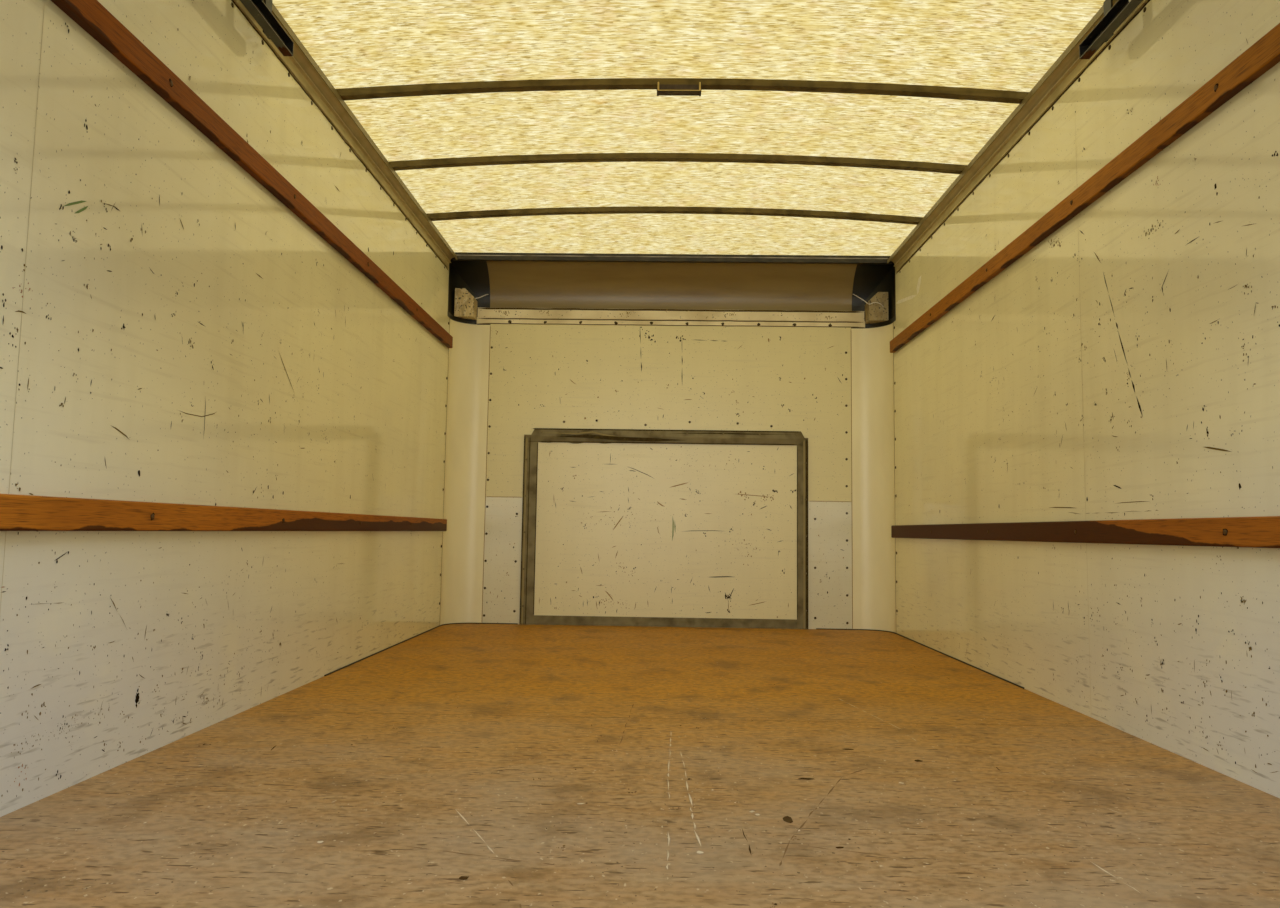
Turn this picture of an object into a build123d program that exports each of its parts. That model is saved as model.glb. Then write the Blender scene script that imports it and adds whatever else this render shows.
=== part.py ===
from build123d import *
import math
import os

# Cargo box body for a cutaway chassis: 16 ft long, 96 in wide, with composite panel walls, a
# translucent roof on crowned bows, and a roll-up rear door, modelled open under the roof.
# Frame: +X is the right side, +Y the front, +Z up. The origin is under the middle of the body,
# on the plane that the two long sills stand on. All sizes are in millimetres.

# Driving dimensions
INSIDE_WIDTH = 2400.0
INSIDE_LENGTH = 4877.0
WALL = 19.0                 # composite wall panel
SKIN = 4.0                  # extruded rail wall
SHEET = 3.0                 # roof and nose sheet
SILL_HEIGHT = 100.0
CROSS_HEIGHT = 76.0
DECK_THICKNESS = 28.0

# Heights above the load floor
CORNER_TOP = 1655.0         # top of the rounded front corners
FRONT_WALL_TOP = 1680.0
SHEET_JOINT = 692.0         # joint between the upper and lower front sheets
HEADER_STRIP = (1660.0, 1693.0, 1752.0)   # lower edge, groove, upper edge
RAIL_FOOT = 1905.0          # lower edge of the top rail, seen from inside
RAIL_LEDGE = 1973.0         # ledge that the roof bows stand on
BOW_CROWN = 2018.0          # underside of a roof bow at its middle
LOWER_RUB = 532.0           # middle of the lower rub rail
UPPER_RUB = 1519.0
TRACK_LEVEL = 1880.0        # middle of the door track's level run
DOOR_OPENING = 1830.0

# Plan sizes
CORNER_RADIUS = 150.0       # inside radius of the front corners
FRONT_PANEL_HALF = 1006.0
CAP_INNER = 1014.0          # inner end of the corner caps
NOSE_DEPTH = 225.0          # outside radius of the nose sheet
BOW_PITCH = 609.6
BOW_COUNT = 7
BOW_SECTION = (35.0, 22.0)  # along the body, and high
BOW_SAG = 42.0              # fall of the crown at BOW_SAG_AT from the middle
BOW_SAG_AT = 1150.0
RUB_SECTION = (22.0, 64.0)
CHASSIS_HALF = 432.0        # half the distance between the long sills' webs
CROSS_PITCH = 406.4
CROSS_COUNT = 12
FRAME_DEPTH = 75.0          # rear frame, front to back
POST_WIDTH = 93.0

# Places worked out from them
DECK = SILL_HEIGHT + CROSS_HEIGHT + DECK_THICKNESS
CROSS_TOP = SILL_HEIGHT + CROSS_HEIGHT
HALF_IN = INSIDE_WIDTH / 2
HALF_OUT = HALF_IN + WALL
HALF_SKIN = HALF_OUT + SKIN
LENGTH = INSIDE_LENGTH + WALL
FRONT_OUT = LENGTH / 2
FRONT_IN = FRONT_OUT - WALL
REAR = -LENGTH / 2
REAR_FRAME_FRONT = REAR + FRAME_DEPTH
ARC_X = HALF_IN - CORNER_RADIUS
ARC_Y = FRONT_IN - CORNER_RADIUS
NOSE_BACK = FRONT_OUT - NOSE_DEPTH
CAP_BOTTOM = DECK + CORNER_TOP
CROWN_RADIUS = (BOW_SAG_AT**2 + BOW_SAG**2) / (2 * BOW_SAG)
ROOF_UNDER = DECK + BOW_CROWN + BOW_SECTION[1]
ROOF_FLAT = 1180.0          # where the roof's curve runs out onto the rails


def crown(x, top):
    """Height at x of the roof's curve whose middle is at top."""
    return top - (CROWN_RADIUS - math.sqrt(CROWN_RADIUS**2 - x**2))


EAVES = crown(ROOF_FLAT, ROOF_UNDER)
WALL_TOP = EAVES - SHEET
NOSE_CENTRE = EAVES + SHEET - NOSE_DEPTH   # height of the nose curve's centre


def block(x, y, z):
    """Box between two places on each axis."""
    size = [b - a for a, b in (x, y, z)]
    middle = [(a + b) / 2 for a, b in (x, y, z)]
    return Pos(*middle) * Box(*size)


def along_x(points, start, end):
    """Section drawn in Y and Z, run from start to end."""
    face = make_face(Polyline(*[(start, y, z) for y, z in points], close=True))
    return extrude(face, amount=end - start, dir=(1, 0, 0))


def along_y(points, start, end):
    """Section drawn in X and Z, run from start to end."""
    face = make_face(Polyline(*[(x, start, z) for x, z in points], close=True))
    return extrude(face, amount=end - start, dir=(0, 1, 0))


def along_z(points, start, end):
    """Section drawn in X and Y, run from start to end."""
    face = make_face(Polyline(*[(x, y, start) for x, y in points], close=True))
    return extrude(face, amount=end - start, dir=(0, 0, 1))


def other_side(shape):
    return mirror(shape, about=Plane.YZ)


def channel(depth, height, wall):
    """C section from its back corner, open towards +first axis."""
    return [(0, 0), (depth, 0), (depth, wall), (wall, wall), (wall, height - wall),
            (depth, height - wall), (depth, height), (0, height)]


parts = {}


def pair(name, shape):
    """The piece made on the right, and its mirror image on the left."""
    parts[name + "_right"] = shape
    parts[name + "_left"] = other_side(shape)


# Underframe
SILL_FLANGE, SILL_WALL = 50.0, 6.0
SILL_FRONT_GAP = 60.0
MOUNT_HOLE_R = 7.0
MOUNT_HOLE_Y = 1800.0
CROSS_FLANGE, CROSS_WALL = 56.0, 5.0
FIRST_CROSS = REAR_FRAME_FRONT + 60.0
RAIL_INSET = 10.0           # how far the bottom rails reach in under the floor
RAIL_LAP = 86.0             # how far they lap up the outside of the walls
FRONT_SILL_DEPTH = 53.0


def long_sill():
    back = CHASSIS_HALF + SILL_FLANGE / 2
    section = [(back - x, z) for x, z in channel(SILL_FLANGE, SILL_HEIGHT, SILL_WALL)]
    sill = along_y(section, REAR_FRAME_FRONT, FRONT_IN - SILL_FRONT_GAP)
    for y in (-MOUNT_HOLE_Y, MOUNT_HOLE_Y):
        sill -= Pos(CHASSIS_HALF, y, SILL_WALL / 2) * Cylinder(MOUNT_HOLE_R, 2 * SILL_WALL)
    return sill


def cross_member(y):
    """I section across the body, drawn as its right half from the foot up and back down."""
    edge, web = CROSS_FLANGE / 2, CROSS_WALL / 2
    half = [(edge, SILL_HEIGHT), (edge, SILL_HEIGHT + CROSS_WALL), (web, SILL_HEIGHT + CROSS_WALL),
            (web, CROSS_TOP - CROSS_WALL), (edge, CROSS_TOP - CROSS_WALL), (edge, CROSS_TOP)]
    section = half + [(-reach, z) for reach, z in reversed(half)]
    end = HALF_IN - RAIL_INSET
    return along_x([(y + reach, z) for reach, z in section], -end, end)


def bottom_rail():
    """Hollow extrusion under the wall, with a leg that laps up the wall's outside."""
    inner = HALF_IN - RAIL_INSET
    section = [(inner, SILL_HEIGHT), (HALF_SKIN, SILL_HEIGHT), (HALF_SKIN, DECK + RAIL_LAP),
               (HALF_OUT, DECK + RAIL_LAP), (HALF_OUT, CROSS_TOP), (inner, CROSS_TOP)]
    hollow = block((inner + SKIN, HALF_SKIN - SKIN), (REAR, FRONT_OUT),
                   (SILL_HEIGHT + SKIN, CROSS_TOP - SKIN))
    return along_y(section, REAR_FRAME_FRONT, ARC_Y) - hollow


pair("long_sill", long_sill())
cross_places = [FIRST_CROSS + n * CROSS_PITCH for n in range(CROSS_COUNT)]
parts["cross_members"] = Compound(children=[cross_member(y) for y in cross_places])
pair("bottom_rail", bottom_rail())
sill_section = channel(FRONT_SILL_DEPTH, CROSS_HEIGHT, CROSS_WALL)
parts["front_sill"] = along_x([(FRONT_OUT - depth, SILL_HEIGHT + z) for depth, z in sill_section],
                              -FRONT_PANEL_HALF, FRONT_PANEL_HALF)


# Load floor, in two runs of sheets, its front corners cut round to the lining
FLOOR_JOINT = FRONT_IN - 2440.0
SCRIBE = 2.0

front_sheet = block((-HALF_IN, HALF_IN), (FLOOR_JOINT, FRONT_IN), (CROSS_TOP, DECK))
front_corners = front_sheet.edges().filter_by(Axis.Z).group_by(Axis.Y)[-1]
parts["floor_front"] = fillet(front_corners, CORNER_RADIUS + SCRIBE)
parts["floor_rear"] = block((-HALF_IN, HALF_IN), (REAR_FRAME_FRONT, FLOOR_JOINT), (CROSS_TOP, DECK))


# Walls
SIDE_SEAMS = {"left": FRONT_IN - 3424.0, "right": FRONT_IN - 2309.0}


def side_panel(side, rear, front):
    """Wall panel, cut away at the top front where the corner cap takes over."""
    panel = block((HALF_IN, HALF_OUT), (rear, front), (CROSS_TOP, WALL_TOP))
    panel -= block((HALF_IN, HALF_OUT), (NOSE_BACK, FRONT_OUT), (CAP_BOTTOM, WALL_TOP))
    return panel if side == "right" else other_side(panel)


for side, seam in SIDE_SEAMS.items():
    parts["side_wall_front_" + side] = side_panel(side, seam, ARC_Y)
    parts["side_wall_rear_" + side] = side_panel(side, REAR_FRAME_FRONT, seam)


def corner_post():
    """Quarter round corner, with a short flat that meets the front wall."""
    height = CAP_BOTTOM - SILL_HEIGHT
    rise = (SILL_HEIGHT, CAP_BOTTOM)
    ring = Cylinder(CORNER_RADIUS + WALL, height) - Cylinder(CORNER_RADIUS, height)
    ring = Pos(ARC_X, ARC_Y, SILL_HEIGHT + height / 2) * ring
    ring &= block((ARC_X, HALF_SKIN), (ARC_Y, FRONT_OUT), rise)
    return ring + block((FRONT_PANEL_HALF, ARC_X), (FRONT_IN, FRONT_OUT), rise)


pair("corner_post", corner_post())

# Front wall: the opening to the cab is closed by a panel in a frame of strips
COVER_SHIFT = -17.0         # the opening is a little left of the middle
COVER_HALF = 745.0
COVER_TOP = 1038.0
COVER_THICKNESS = 12.0
wall_y = (FRONT_IN, FRONT_OUT)
cover_x = (COVER_SHIFT - COVER_HALF, COVER_SHIFT + COVER_HALF)
upper = block((-FRONT_PANEL_HALF, FRONT_PANEL_HALF), wall_y,
              (DECK + SHEET_JOINT, DECK + FRONT_WALL_TOP))
upper -= block(cover_x, wall_y, (DECK, DECK + COVER_TOP))
parts["front_wall_upper"] = upper
lower_z = (CROSS_TOP, DECK + SHEET_JOINT)
parts["front_wall_lower_left"] = block((-FRONT_PANEL_HALF, cover_x[0]), wall_y, lower_z)
parts["front_wall_lower_right"] = block((cover_x[1], FRONT_PANEL_HALF), wall_y, lower_z)
parts["cab_opening_cover"] = block(cover_x, (FRONT_IN, FRONT_IN + COVER_THICKNESS),
                                   (CROSS_TOP, DECK + COVER_TOP))

# Strips of the frame: outer edge, split between the flat and the sloping face, inner edge
FRAME_LEFT = (-799.0, -765.0, -722.0)
FRAME_RIGHT = (766.0, 739.0, 706.0)
FRAME_TOP = (998.0, 1075.0)
FRAME_FOOT = 50.0
STRIP = 12.0                # how far the frame strips stand out
STRIP_EDGE = 3.0


def upright(outer, split, inner):
    face = FRONT_IN - STRIP
    section = [(outer, FRONT_IN), (outer, face), (split, face), (inner, FRONT_IN - STRIP_EDGE),
               (inner, FRONT_IN)]
    return along_z(section, DECK, DECK + FRAME_TOP[0])


parts["frame_strip_left"] = upright(*FRAME_LEFT)
parts["frame_strip_right"] = upright(*FRAME_RIGHT)
parts["frame_strip_top"] = block((FRAME_LEFT[0], FRAME_RIGHT[0]), (FRONT_IN - STRIP, FRONT_IN),
                                 (DECK + FRAME_TOP[0], DECK + FRAME_TOP[1]))
parts["frame_strip_foot"] = block((FRAME_LEFT[-1], FRAME_RIGHT[-1]),
                                  (FRONT_IN - STRIP_EDGE, FRONT_IN), (DECK, DECK + FRAME_FOOT))

# Header strip across the head of the front wall: a riveted flange under a thicker band
HEADER_HALF = 1083.0
FLANGE_OUT, BAND_OUT = 3.0, 5.0
BAND_SLOPE = 4.0
flange_foot, groove, band_top = [DECK + z for z in HEADER_STRIP]
header = [(FRONT_IN, flange_foot), (FRONT_IN - FLANGE_OUT, flange_foot),
          (FRONT_IN - FLANGE_OUT, groove), (FRONT_IN - BAND_OUT, groove + BAND_SLOPE),
          (FRONT_IN - BAND_OUT, band_top), (FRONT_IN, band_top)]
parts["header_strip"] = along_x(header, -HEADER_HALF, HEADER_HALF)

# Nose and corner caps: the caps are hollow mouldings, round in two directions
CAP_WALL = 5.0
LIP_HIGH = 25.0             # black lip in the cap's mouth, which covers the joint with the lining
LIP_IN, LIP_OUT = 147.0, CORNER_RADIUS + WALL - CAP_WALL
BLOCK_DEPTH = 108.0
BLOCK_FACE = [(HEADER_HALF + 1, 1884), (1190, 1884), (1190, 2042), (1135, 2042),
              (HEADER_HALF + 1, 1993)]


def nose_solid(inset):
    """Everything behind the outside curve of the nose, less an even inset."""
    across = (-HALF_SKIN, HALF_SKIN)
    arch = Pos(0, NOSE_BACK, NOSE_CENTRE) * Rot(0, 90, 0) * Cylinder(NOSE_DEPTH - inset, 2 * HALF_SKIN)
    arch &= block(across, (NOSE_BACK, FRONT_OUT), (NOSE_CENTRE, EAVES + SHEET))
    return arch + block(across, (NOSE_BACK, FRONT_OUT - inset), (CAP_BOTTOM, NOSE_CENTRE))


def plan_solid(inset):
    """Everything inside the right side and its round front corner, less an even inset."""
    rise = (CAP_BOTTOM, EAVES + SHEET)
    height = rise[1] - rise[0]
    body = block((FRONT_PANEL_HALF, HALF_OUT - inset), (NOSE_BACK, ARC_Y), rise)
    body += block((FRONT_PANEL_HALF, ARC_X), (NOSE_BACK, FRONT_OUT - inset), rise)
    corner = Cylinder(CORNER_RADIUS + WALL - inset, height)
    corner = Pos(ARC_X, ARC_Y, CAP_BOTTOM + height / 2) * corner
    return body + (corner & block((ARC_X, HALF_OUT), (ARC_Y, FRONT_OUT), rise))


def cap_lip():
    """Lip in the foot of the cap, straight along the side wall and then round the corner."""
    rise = (CAP_BOTTOM, CAP_BOTTOM + LIP_HIGH)
    ring = Cylinder(LIP_OUT, LIP_HIGH) - Cylinder(LIP_IN, LIP_HIGH)
    ring = Pos(ARC_X, ARC_Y, CAP_BOTTOM + LIP_HIGH / 2) * ring
    ring &= block((HEADER_HALF + 1, HALF_OUT), (ARC_Y, FRONT_OUT), rise)
    return ring + block((ARC_X + LIP_IN, ARC_X + LIP_OUT), (NOSE_BACK, ARC_Y), rise)


nose_y = (NOSE_BACK, FRONT_OUT)
nose = nose_solid(0) - nose_solid(SHEET)
parts["nose_sheet"] = nose & block((-CAP_INNER, CAP_INNER), nose_y,
                                   (DECK + FRONT_WALL_TOP, EAVES + SHEET))
cap_hollow = nose_solid(CAP_WALL) & plan_solid(CAP_WALL)
cap = (nose_solid(0) & plan_solid(0)) - cap_hollow
cap -= block((FRONT_PANEL_HALF, CAP_INNER), nose_y, (DECK + FRONT_WALL_TOP, EAVES + SHEET))
pair("corner_cap", cap)
parts["cap_lips"] = Compound(children=[cap_lip(), other_side(cap_lip())])

# Block that fills the foot of each cap, cut to the cap's hollow
corner_block = along_y(BLOCK_FACE, FRONT_OUT - CAP_WALL - BLOCK_DEPTH, FRONT_OUT) & cap_hollow
parts["corner_blocks"] = Compound(children=[corner_block, other_side(corner_block)])

# Marker lamps on the nose, their backs shaped to its curve
MARKER_SIZE = (64.0, 22.0)
MARKER_CHAMFER = 8.0
MARKER_OUT, MARKER_IN = 14.0, 10.0
MARKER_ELEVATION = 38.0
FRONT_MARKERS = (-970.0, -150.0, 0.0, 150.0, 970.0)


def marker_face():
    """Outline of a marker lamp: an oblong with cut corners."""
    oblong = Rectangle(*MARKER_SIZE)
    return chamfer(oblong.vertices(), MARKER_CHAMFER)


def front_marker(x):
    out = Vector(0, 1, 0).rotate(Axis.X, MARKER_ELEVATION)
    base = Vector(x, NOSE_BACK, NOSE_CENTRE) + out * (NOSE_DEPTH - MARKER_IN)
    face = Plane(origin=base, x_dir=(1, 0, 0), z_dir=out) * marker_face()
    return extrude(face, amount=MARKER_IN + MARKER_OUT) - nose_solid(0)


parts["front_marker_lamps"] = Compound(children=[front_marker(x) for x in FRONT_MARKERS])

# Wires of the corner lamps, each from the cap's back wall into the block, and cut flush there:
# the right one bends down past the block's corner and rises in front of its face
WIRE_R = 2.2
WIRE_FACES = 6
ARC_SHARE = 0.45
WIRE_ROUTES = {
    "right": [(1018, 2431, 2054), (1018, 2401, 2043), (1040, 2370, 2018), (1062, 2344, 1994),
              (1082, 2322, 1966), (1104, 2316, 1978), (1130, 2316, 1977), (1152, 2321, 1966),
              (1162, 2337, 1961)],
    "left": [(-1025, 2437, 2035), (-1025, 2409, 2028), (-1038, 2384, 2014), (-1058, 2368, 1998),
             (-1086, 2361, 1990)],
}


def wire(route):
    """Tube along straight runs joined by tangent arcs, each as large as its runs allow."""
    places = [Vector(*place) for place in route]
    radii = []
    for before, corner, after in zip(places, places[1:], places[2:]):
        turn = math.radians((corner - before).get_angle(after - corner))
        shorter = min((corner - before).length, (after - corner).length)
        radii.append(ARC_SHARE * shorter / math.tan(turn / 2))
    print("lamp wire radii", [round(radius, 1) for radius in radii])
    path = FilletPolyline(*places, radius=radii)
    section = RegularPolygon(WIRE_R, WIRE_FACES)
    return sweep(Plane(origin=path @ 0, z_dir=path % 0) * section, path=path)


for side, route in WIRE_ROUTES.items():
    parts["lamp_wire_" + side] = wire(route) - parts["corner_cap_" + side] - parts["corner_blocks"]


# Roof
BOW_FOOT, BOW_END = 1145.0, 1178.0
FRONT_BAR_DEPTH, FRONT_BAR_HIGH = 30.0, 38.0
BAR_END = 1176.0
ROOF_EDGE = HALF_OUT - 4.0
ROOF_LIFT = 2.0             # height of the roof's middle over the eaves at the nose


def bow(y):
    """Crowned roof bow with a flat foot at each end, which stands on the rail's ledge."""
    ledge, middle = DECK + RAIL_LEDGE, DECK + BOW_CROWN
    end_top = crown(BOW_END, ROOF_UNDER)
    rear = y - BOW_SECTION[0] / 2
    outline = [ThreePointArc((-BOW_FOOT, rear, ledge), (0, rear, middle), (BOW_FOOT, rear, ledge)),
               ThreePointArc((-BOW_END, rear, end_top), (0, rear, ROOF_UNDER), (BOW_END, rear, end_top))]
    for hand in (-1, 1):
        outline += [Line((hand * BOW_FOOT, rear, ledge), (hand * BOW_END, rear, ledge)),
                    Line((hand * BOW_END, rear, ledge), (hand * BOW_END, rear, end_top))]
    return extrude(make_face(outline), amount=BOW_SECTION[0], dir=(0, 1, 0))


bow_places = [NOSE_BACK - n * BOW_PITCH for n in range(1, BOW_COUNT + 1)]
parts["roof_bows"] = Compound(children=[bow(y) for y in bow_places])
parts["roof_front_bar"] = block((-BAR_END, BAR_END), (NOSE_BACK - FRONT_BAR_DEPTH, NOSE_BACK),
                                (EAVES - FRONT_BAR_HIGH, EAVES))

# Top rail: an outer leg riveted through the wall, with a seat for the roof, and inside it a
# ledge with a hanging lip, a cove under the ledge, a bead and a flat foot
LEG_DROP = 50.0
LIP, LIP_DROP, LIP_WALL = 1150.0, 21.0, 3.0
LEDGE_WALL = 5.0
COVE_RADIUS = 23.0
COVE_FOOT = 1188.0
BEAD = (1184.0, 1938.0, 1943.0)            # how far in it stands, and its two heights
FOOT_FACE, FOOT_TOP = 1193.0, 1936.0


def top_rail_leg():
    foot = DECK + RAIL_FOOT - LEG_DROP
    section = [(HALF_SKIN, foot), (HALF_SKIN, EAVES), (ROOF_FLAT, EAVES), (ROOF_FLAT, WALL_TOP),
               (HALF_OUT, WALL_TOP), (HALF_OUT, foot)]
    return along_y(section, REAR_FRAME_FRONT, NOSE_BACK)


def top_cove():
    ledge, under = RAIL_LEDGE, RAIL_LEDGE - LEDGE_WALL
    centre = (COVE_FOOT - COVE_RADIUS, under - COVE_RADIUS)
    half = COVE_RADIUS * math.sqrt(0.5)
    bead_in, bead_foot, bead_top = BEAD

    def at(x, height):
        return (x, REAR_FRAME_FRONT, DECK + height)

    lip = Polyline(*[at(*point) for point in (
        (HALF_IN, RAIL_FOOT), (HALF_IN, ledge), (LIP, ledge), (LIP, ledge - LIP_DROP),
        (LIP + LIP_WALL, ledge - LIP_DROP), (LIP + LIP_WALL, under), (centre[0], under))])
    cove = ThreePointArc(at(centre[0], under), at(centre[0] + half, centre[1] + half),
                         at(COVE_FOOT, centre[1]))
    foot = Polyline(*[at(*point) for point in (
        (COVE_FOOT, centre[1]), (bead_in, bead_top), (bead_in, bead_foot), (FOOT_FACE, FOOT_TOP),
        (FOOT_FACE, RAIL_FOOT), (HALF_IN, RAIL_FOOT))])
    length = NOSE_BACK - FRONT_BAR_DEPTH - REAR_FRAME_FRONT
    return extrude(make_face([lip, cove, foot]), amount=length, dir=(0, 1, 0))


pair("top_rail", top_rail_leg())
pair("top_cove", top_cove())


def roof_section(y, middle):
    """Section of the roof sheet at y, its curve's middle at the height given."""
    lines = []
    for lift in (0, SHEET):
        z = EAVES + lift
        lines.append(ThreePointArc((-ROOF_FLAT, y, z), (0, y, middle + lift), (ROOF_FLAT, y, z)))
        for hand in (-1, 1):
            lines.append(Line((hand * ROOF_FLAT, y, z), (hand * ROOF_EDGE, y, z)))
    for hand in (-1, 1):
        lines.append(Line((hand * ROOF_EDGE, y, EAVES), (hand * ROOF_EDGE, y, EAVES + SHEET)))
    return make_face(lines)


first_bow_front = bow_places[0] + BOW_SECTION[0] / 2
roof = extrude(roof_section(REAR_FRAME_FRONT, ROOF_UNDER),
               amount=first_bow_front - REAR_FRAME_FRONT, dir=(0, 1, 0))
roof += loft([roof_section(first_bow_front, ROOF_UNDER), roof_section(NOSE_BACK, EAVES + ROOF_LIFT)])
parts["roof_sheet"] = roof

# Small lamp bracket: a tray folded from sheet under a bow, with a clip at each end
BRACKET_X = (-70.0, 68.0)
TRAY_FOOT = 1996.0
TRAY_WALL = 2.0
CLIP_WIDE, CLIP_OUT = 6.0, 3.0
CLIP_HEIGHTS = (1994.0, 2026.0)


def lamp_bracket(y):
    rear, front = y - BOW_SECTION[0] / 2, y + BOW_SECTION[0] / 2
    reach = (BRACKET_X[0] - CLIP_WIDE) / BOW_FOOT
    bow_foot = BOW_CROWN - reach**2 * (BOW_CROWN - RAIL_LEDGE)
    tray = block(BRACKET_X, (rear, front), (DECK + TRAY_FOOT, DECK + bow_foot))
    tray -= block(BRACKET_X, (rear + TRAY_WALL, front - TRAY_WALL),
                  (DECK + TRAY_FOOT + TRAY_WALL, DECK + BOW_CROWN))
    for left in (BRACKET_X[0] - CLIP_WIDE, BRACKET_X[1]):
        across = (left, left + CLIP_WIDE)
        tray += block(across, (rear, front), (DECK + CLIP_HEIGHTS[0], DECK + bow_foot))
        tray += block(across, (rear - CLIP_OUT, rear), [DECK + height for height in CLIP_HEIGHTS])
    return tray


parts["lamp_bracket"] = lamp_bracket(bow_places[2])


# Rub rails
RUB_EDGE = 5.0
RUB_FRONT = ARC_Y - 12.0


def rub_rail(level):
    thick, high = RUB_SECTION
    rail = block((HALF_IN - thick, HALF_IN), (REAR_FRAME_FRONT, RUB_FRONT),
                 (DECK + level - high / 2, DECK + level + high / 2))
    return fillet(rail.edges().filter_by(Axis.Y).group_by(Axis.X)[0], RUB_EDGE)


pair("rub_rail_lower", rub_rail(LOWER_RUB))
pair("rub_rail_upper", rub_rail(UPPER_RUB))


# Rear frame, with lamps set flush in pockets
HEAD_BOTTOM = DECK + DOOR_OPENING
POST_INNER = HALF_SKIN - POST_WIDTH
TAIL_SIZE, TAIL_DEPTH, TAIL_HEIGHT = (165.0, 56.0), 25.0, SILL_HEIGHT + 52.0
TAIL_PLACES = (-960.0, -780.0, 780.0, 960.0)
MARKER_DEPTH, MARKER_HEIGHT = 12.0, HEAD_BOTTOM + 110.0
REAR_MARKERS = (-1060.0, -150.0, 0.0, 150.0, 1060.0)


def rear_lamp(outline, depth, x, z):
    """Lamp of an outline, sunk into the rear face."""
    return extrude(Plane(origin=(x, REAR, z), x_dir=(1, 0, 0), z_dir=(0, -1, 0)) * outline,
                   amount=-depth)


def rear_header():
    """Beam over the doorway, its top crowned to close the end of the roof."""
    top = ROOF_UNDER + SHEET
    end = (POST_INNER, REAR, crown(POST_INNER, top))
    crowned = ThreePointArc(end, (0, REAR, top), (-end[0], end[1], end[2]))
    rest = Polyline((-end[0], end[1], end[2]), (-POST_INNER, REAR, HEAD_BOTTOM),
                    (POST_INNER, REAR, HEAD_BOTTOM), end)
    return extrude(make_face([crowned, rest]), amount=FRAME_DEPTH, dir=(0, 1, 0))


rear_y = (REAR, REAR_FRAME_FRONT)
pair("rear_post", block((POST_INNER, HALF_SKIN), rear_y, (DECK, EAVES + SHEET)))
tails = [rear_lamp(SlotOverall(*TAIL_SIZE), TAIL_DEPTH, x, TAIL_HEIGHT) for x in TAIL_PLACES]
markers = [rear_lamp(marker_face(), MARKER_DEPTH, x, MARKER_HEIGHT) for x in REAR_MARKERS]
parts["rear_sill"] = block((-HALF_SKIN, HALF_SKIN), rear_y, (SILL_HEIGHT, DECK)) - tails
parts["rear_header"] = rear_header() - markers
parts["tail_lamps"] = Compound(children=tails)
parts["rear_marker_lamps"] = Compound(children=markers)


# Tracks of the roll-up door: up each rear post, round, and level under the roof
TRACK_X = (1118.0, 1145.0)
TRACK_HIGH = 41.0
TRACK_WALL = 2.5
TRACK_REAR = REAR_FRAME_FRONT + 25.0
TRACK_RADIUS = 300.0
TRACK_END = -91.0
TRACK_FOOT = DECK + 12.0
STOP_WALL = 3.0
STAND_OFFS = (100.0, 800.0, 1500.0)        # heights of the lugs that hold a track to its post
LUG_HIGH = 40.0
HANGERS = (-1800.0, -1000.0, -200.0)       # bars that hang a track's level run from the top rail
HANGER_WIDE = 40.0
LEVEL = DECK + TRACK_LEVEL
BEND_Y = TRACK_REAR + TRACK_RADIUS


def door_track():
    """C section, open to the middle, with a stop across its front end, its lugs and hangers."""
    half = TRACK_HIGH / 2
    top_of_rise = LEVEL - TRACK_RADIUS
    mid = TRACK_RADIUS * (1 - math.sqrt(0.5))
    path = Wire([Line((0, TRACK_REAR, TRACK_FOOT), (0, TRACK_REAR, top_of_rise)),
                 ThreePointArc((0, TRACK_REAR, top_of_rise), (0, TRACK_REAR + mid, LEVEL - mid),
                               (0, BEND_Y, LEVEL)),
                 Line((0, BEND_Y, LEVEL), (0, TRACK_END, LEVEL))])
    outline = [(TRACK_X[1] - x, TRACK_REAR - half + y)
               for x, y in channel(TRACK_X[1] - TRACK_X[0], TRACK_HIGH, TRACK_WALL)]
    track = sweep(make_face(Polyline(*[(x, y, TRACK_FOOT) for x, y in outline], close=True)), path=path)
    track += block(TRACK_X, (TRACK_END - STOP_WALL, TRACK_END), (LEVEL - half, LEVEL + half))
    for height in STAND_OFFS:
        track += block((POST_INNER, TRACK_X[1]), (REAR_FRAME_FRONT, TRACK_REAR - half),
                       (DECK + height, DECK + height + LUG_HIGH))
    for y in HANGERS:
        track += block((TRACK_X[1], LIP), (y - HANGER_WIDE / 2, y + HANGER_WIDE / 2),
                       (LEVEL - half, DECK + RAIL_LEDGE))
    return track


pair("door_track", door_track())

# Roll-up door, open: six sections hang level and the lowest rests in the bend. A section is
# drawn along Y from the hinge line at its foot, which is the origin and the tracks' middle line.
DOOR_PITCH = 262.0
LEVEL_SECTIONS = 6
SECTION_HALF = 1108.0
SECTION_INNER, SECTION_LAP, SECTION_OUTER = 5.5, 15.0, 24.5   # heights over the hinge line
SECTION_GAP = 2.0           # from a hinge line to the section's end
LAP = 6.0
LAP_PLAY = 0.5
DOOR_HANG = BEND_Y + 109.0  # rearmost hinge line of the level sections
SEAL_OUT, SEAL_CHAMFER = 12.0, 6.0

# The lowest section's foot is where a chord of one pitch, from DOOR_HANG, meets the bend
hang = DOOR_HANG - BEND_Y
chord = (DOOR_PITCH**2 - hang**2 - 2 * TRACK_RADIUS**2) / (2 * TRACK_RADIUS * math.hypot(hang, TRACK_RADIUS))
bend_turn = math.asin(chord) + math.atan2(TRACK_RADIUS, hang)
foot_back = TRACK_RADIUS * math.sin(bend_turn)
foot_drop = TRACK_RADIUS * (1 - math.cos(bend_turn))
TILT = math.degrees(math.atan2(foot_drop, hang + foot_back))
hinge_lines = [Pos(0, DOOR_HANG + n * DOOR_PITCH, LEVEL) for n in range(LEVEL_SECTIONS + 1)]
door_foot = Pos(0, BEND_Y - foot_back, LEVEL - foot_drop) * Rot(TILT, 0, 0)

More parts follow.
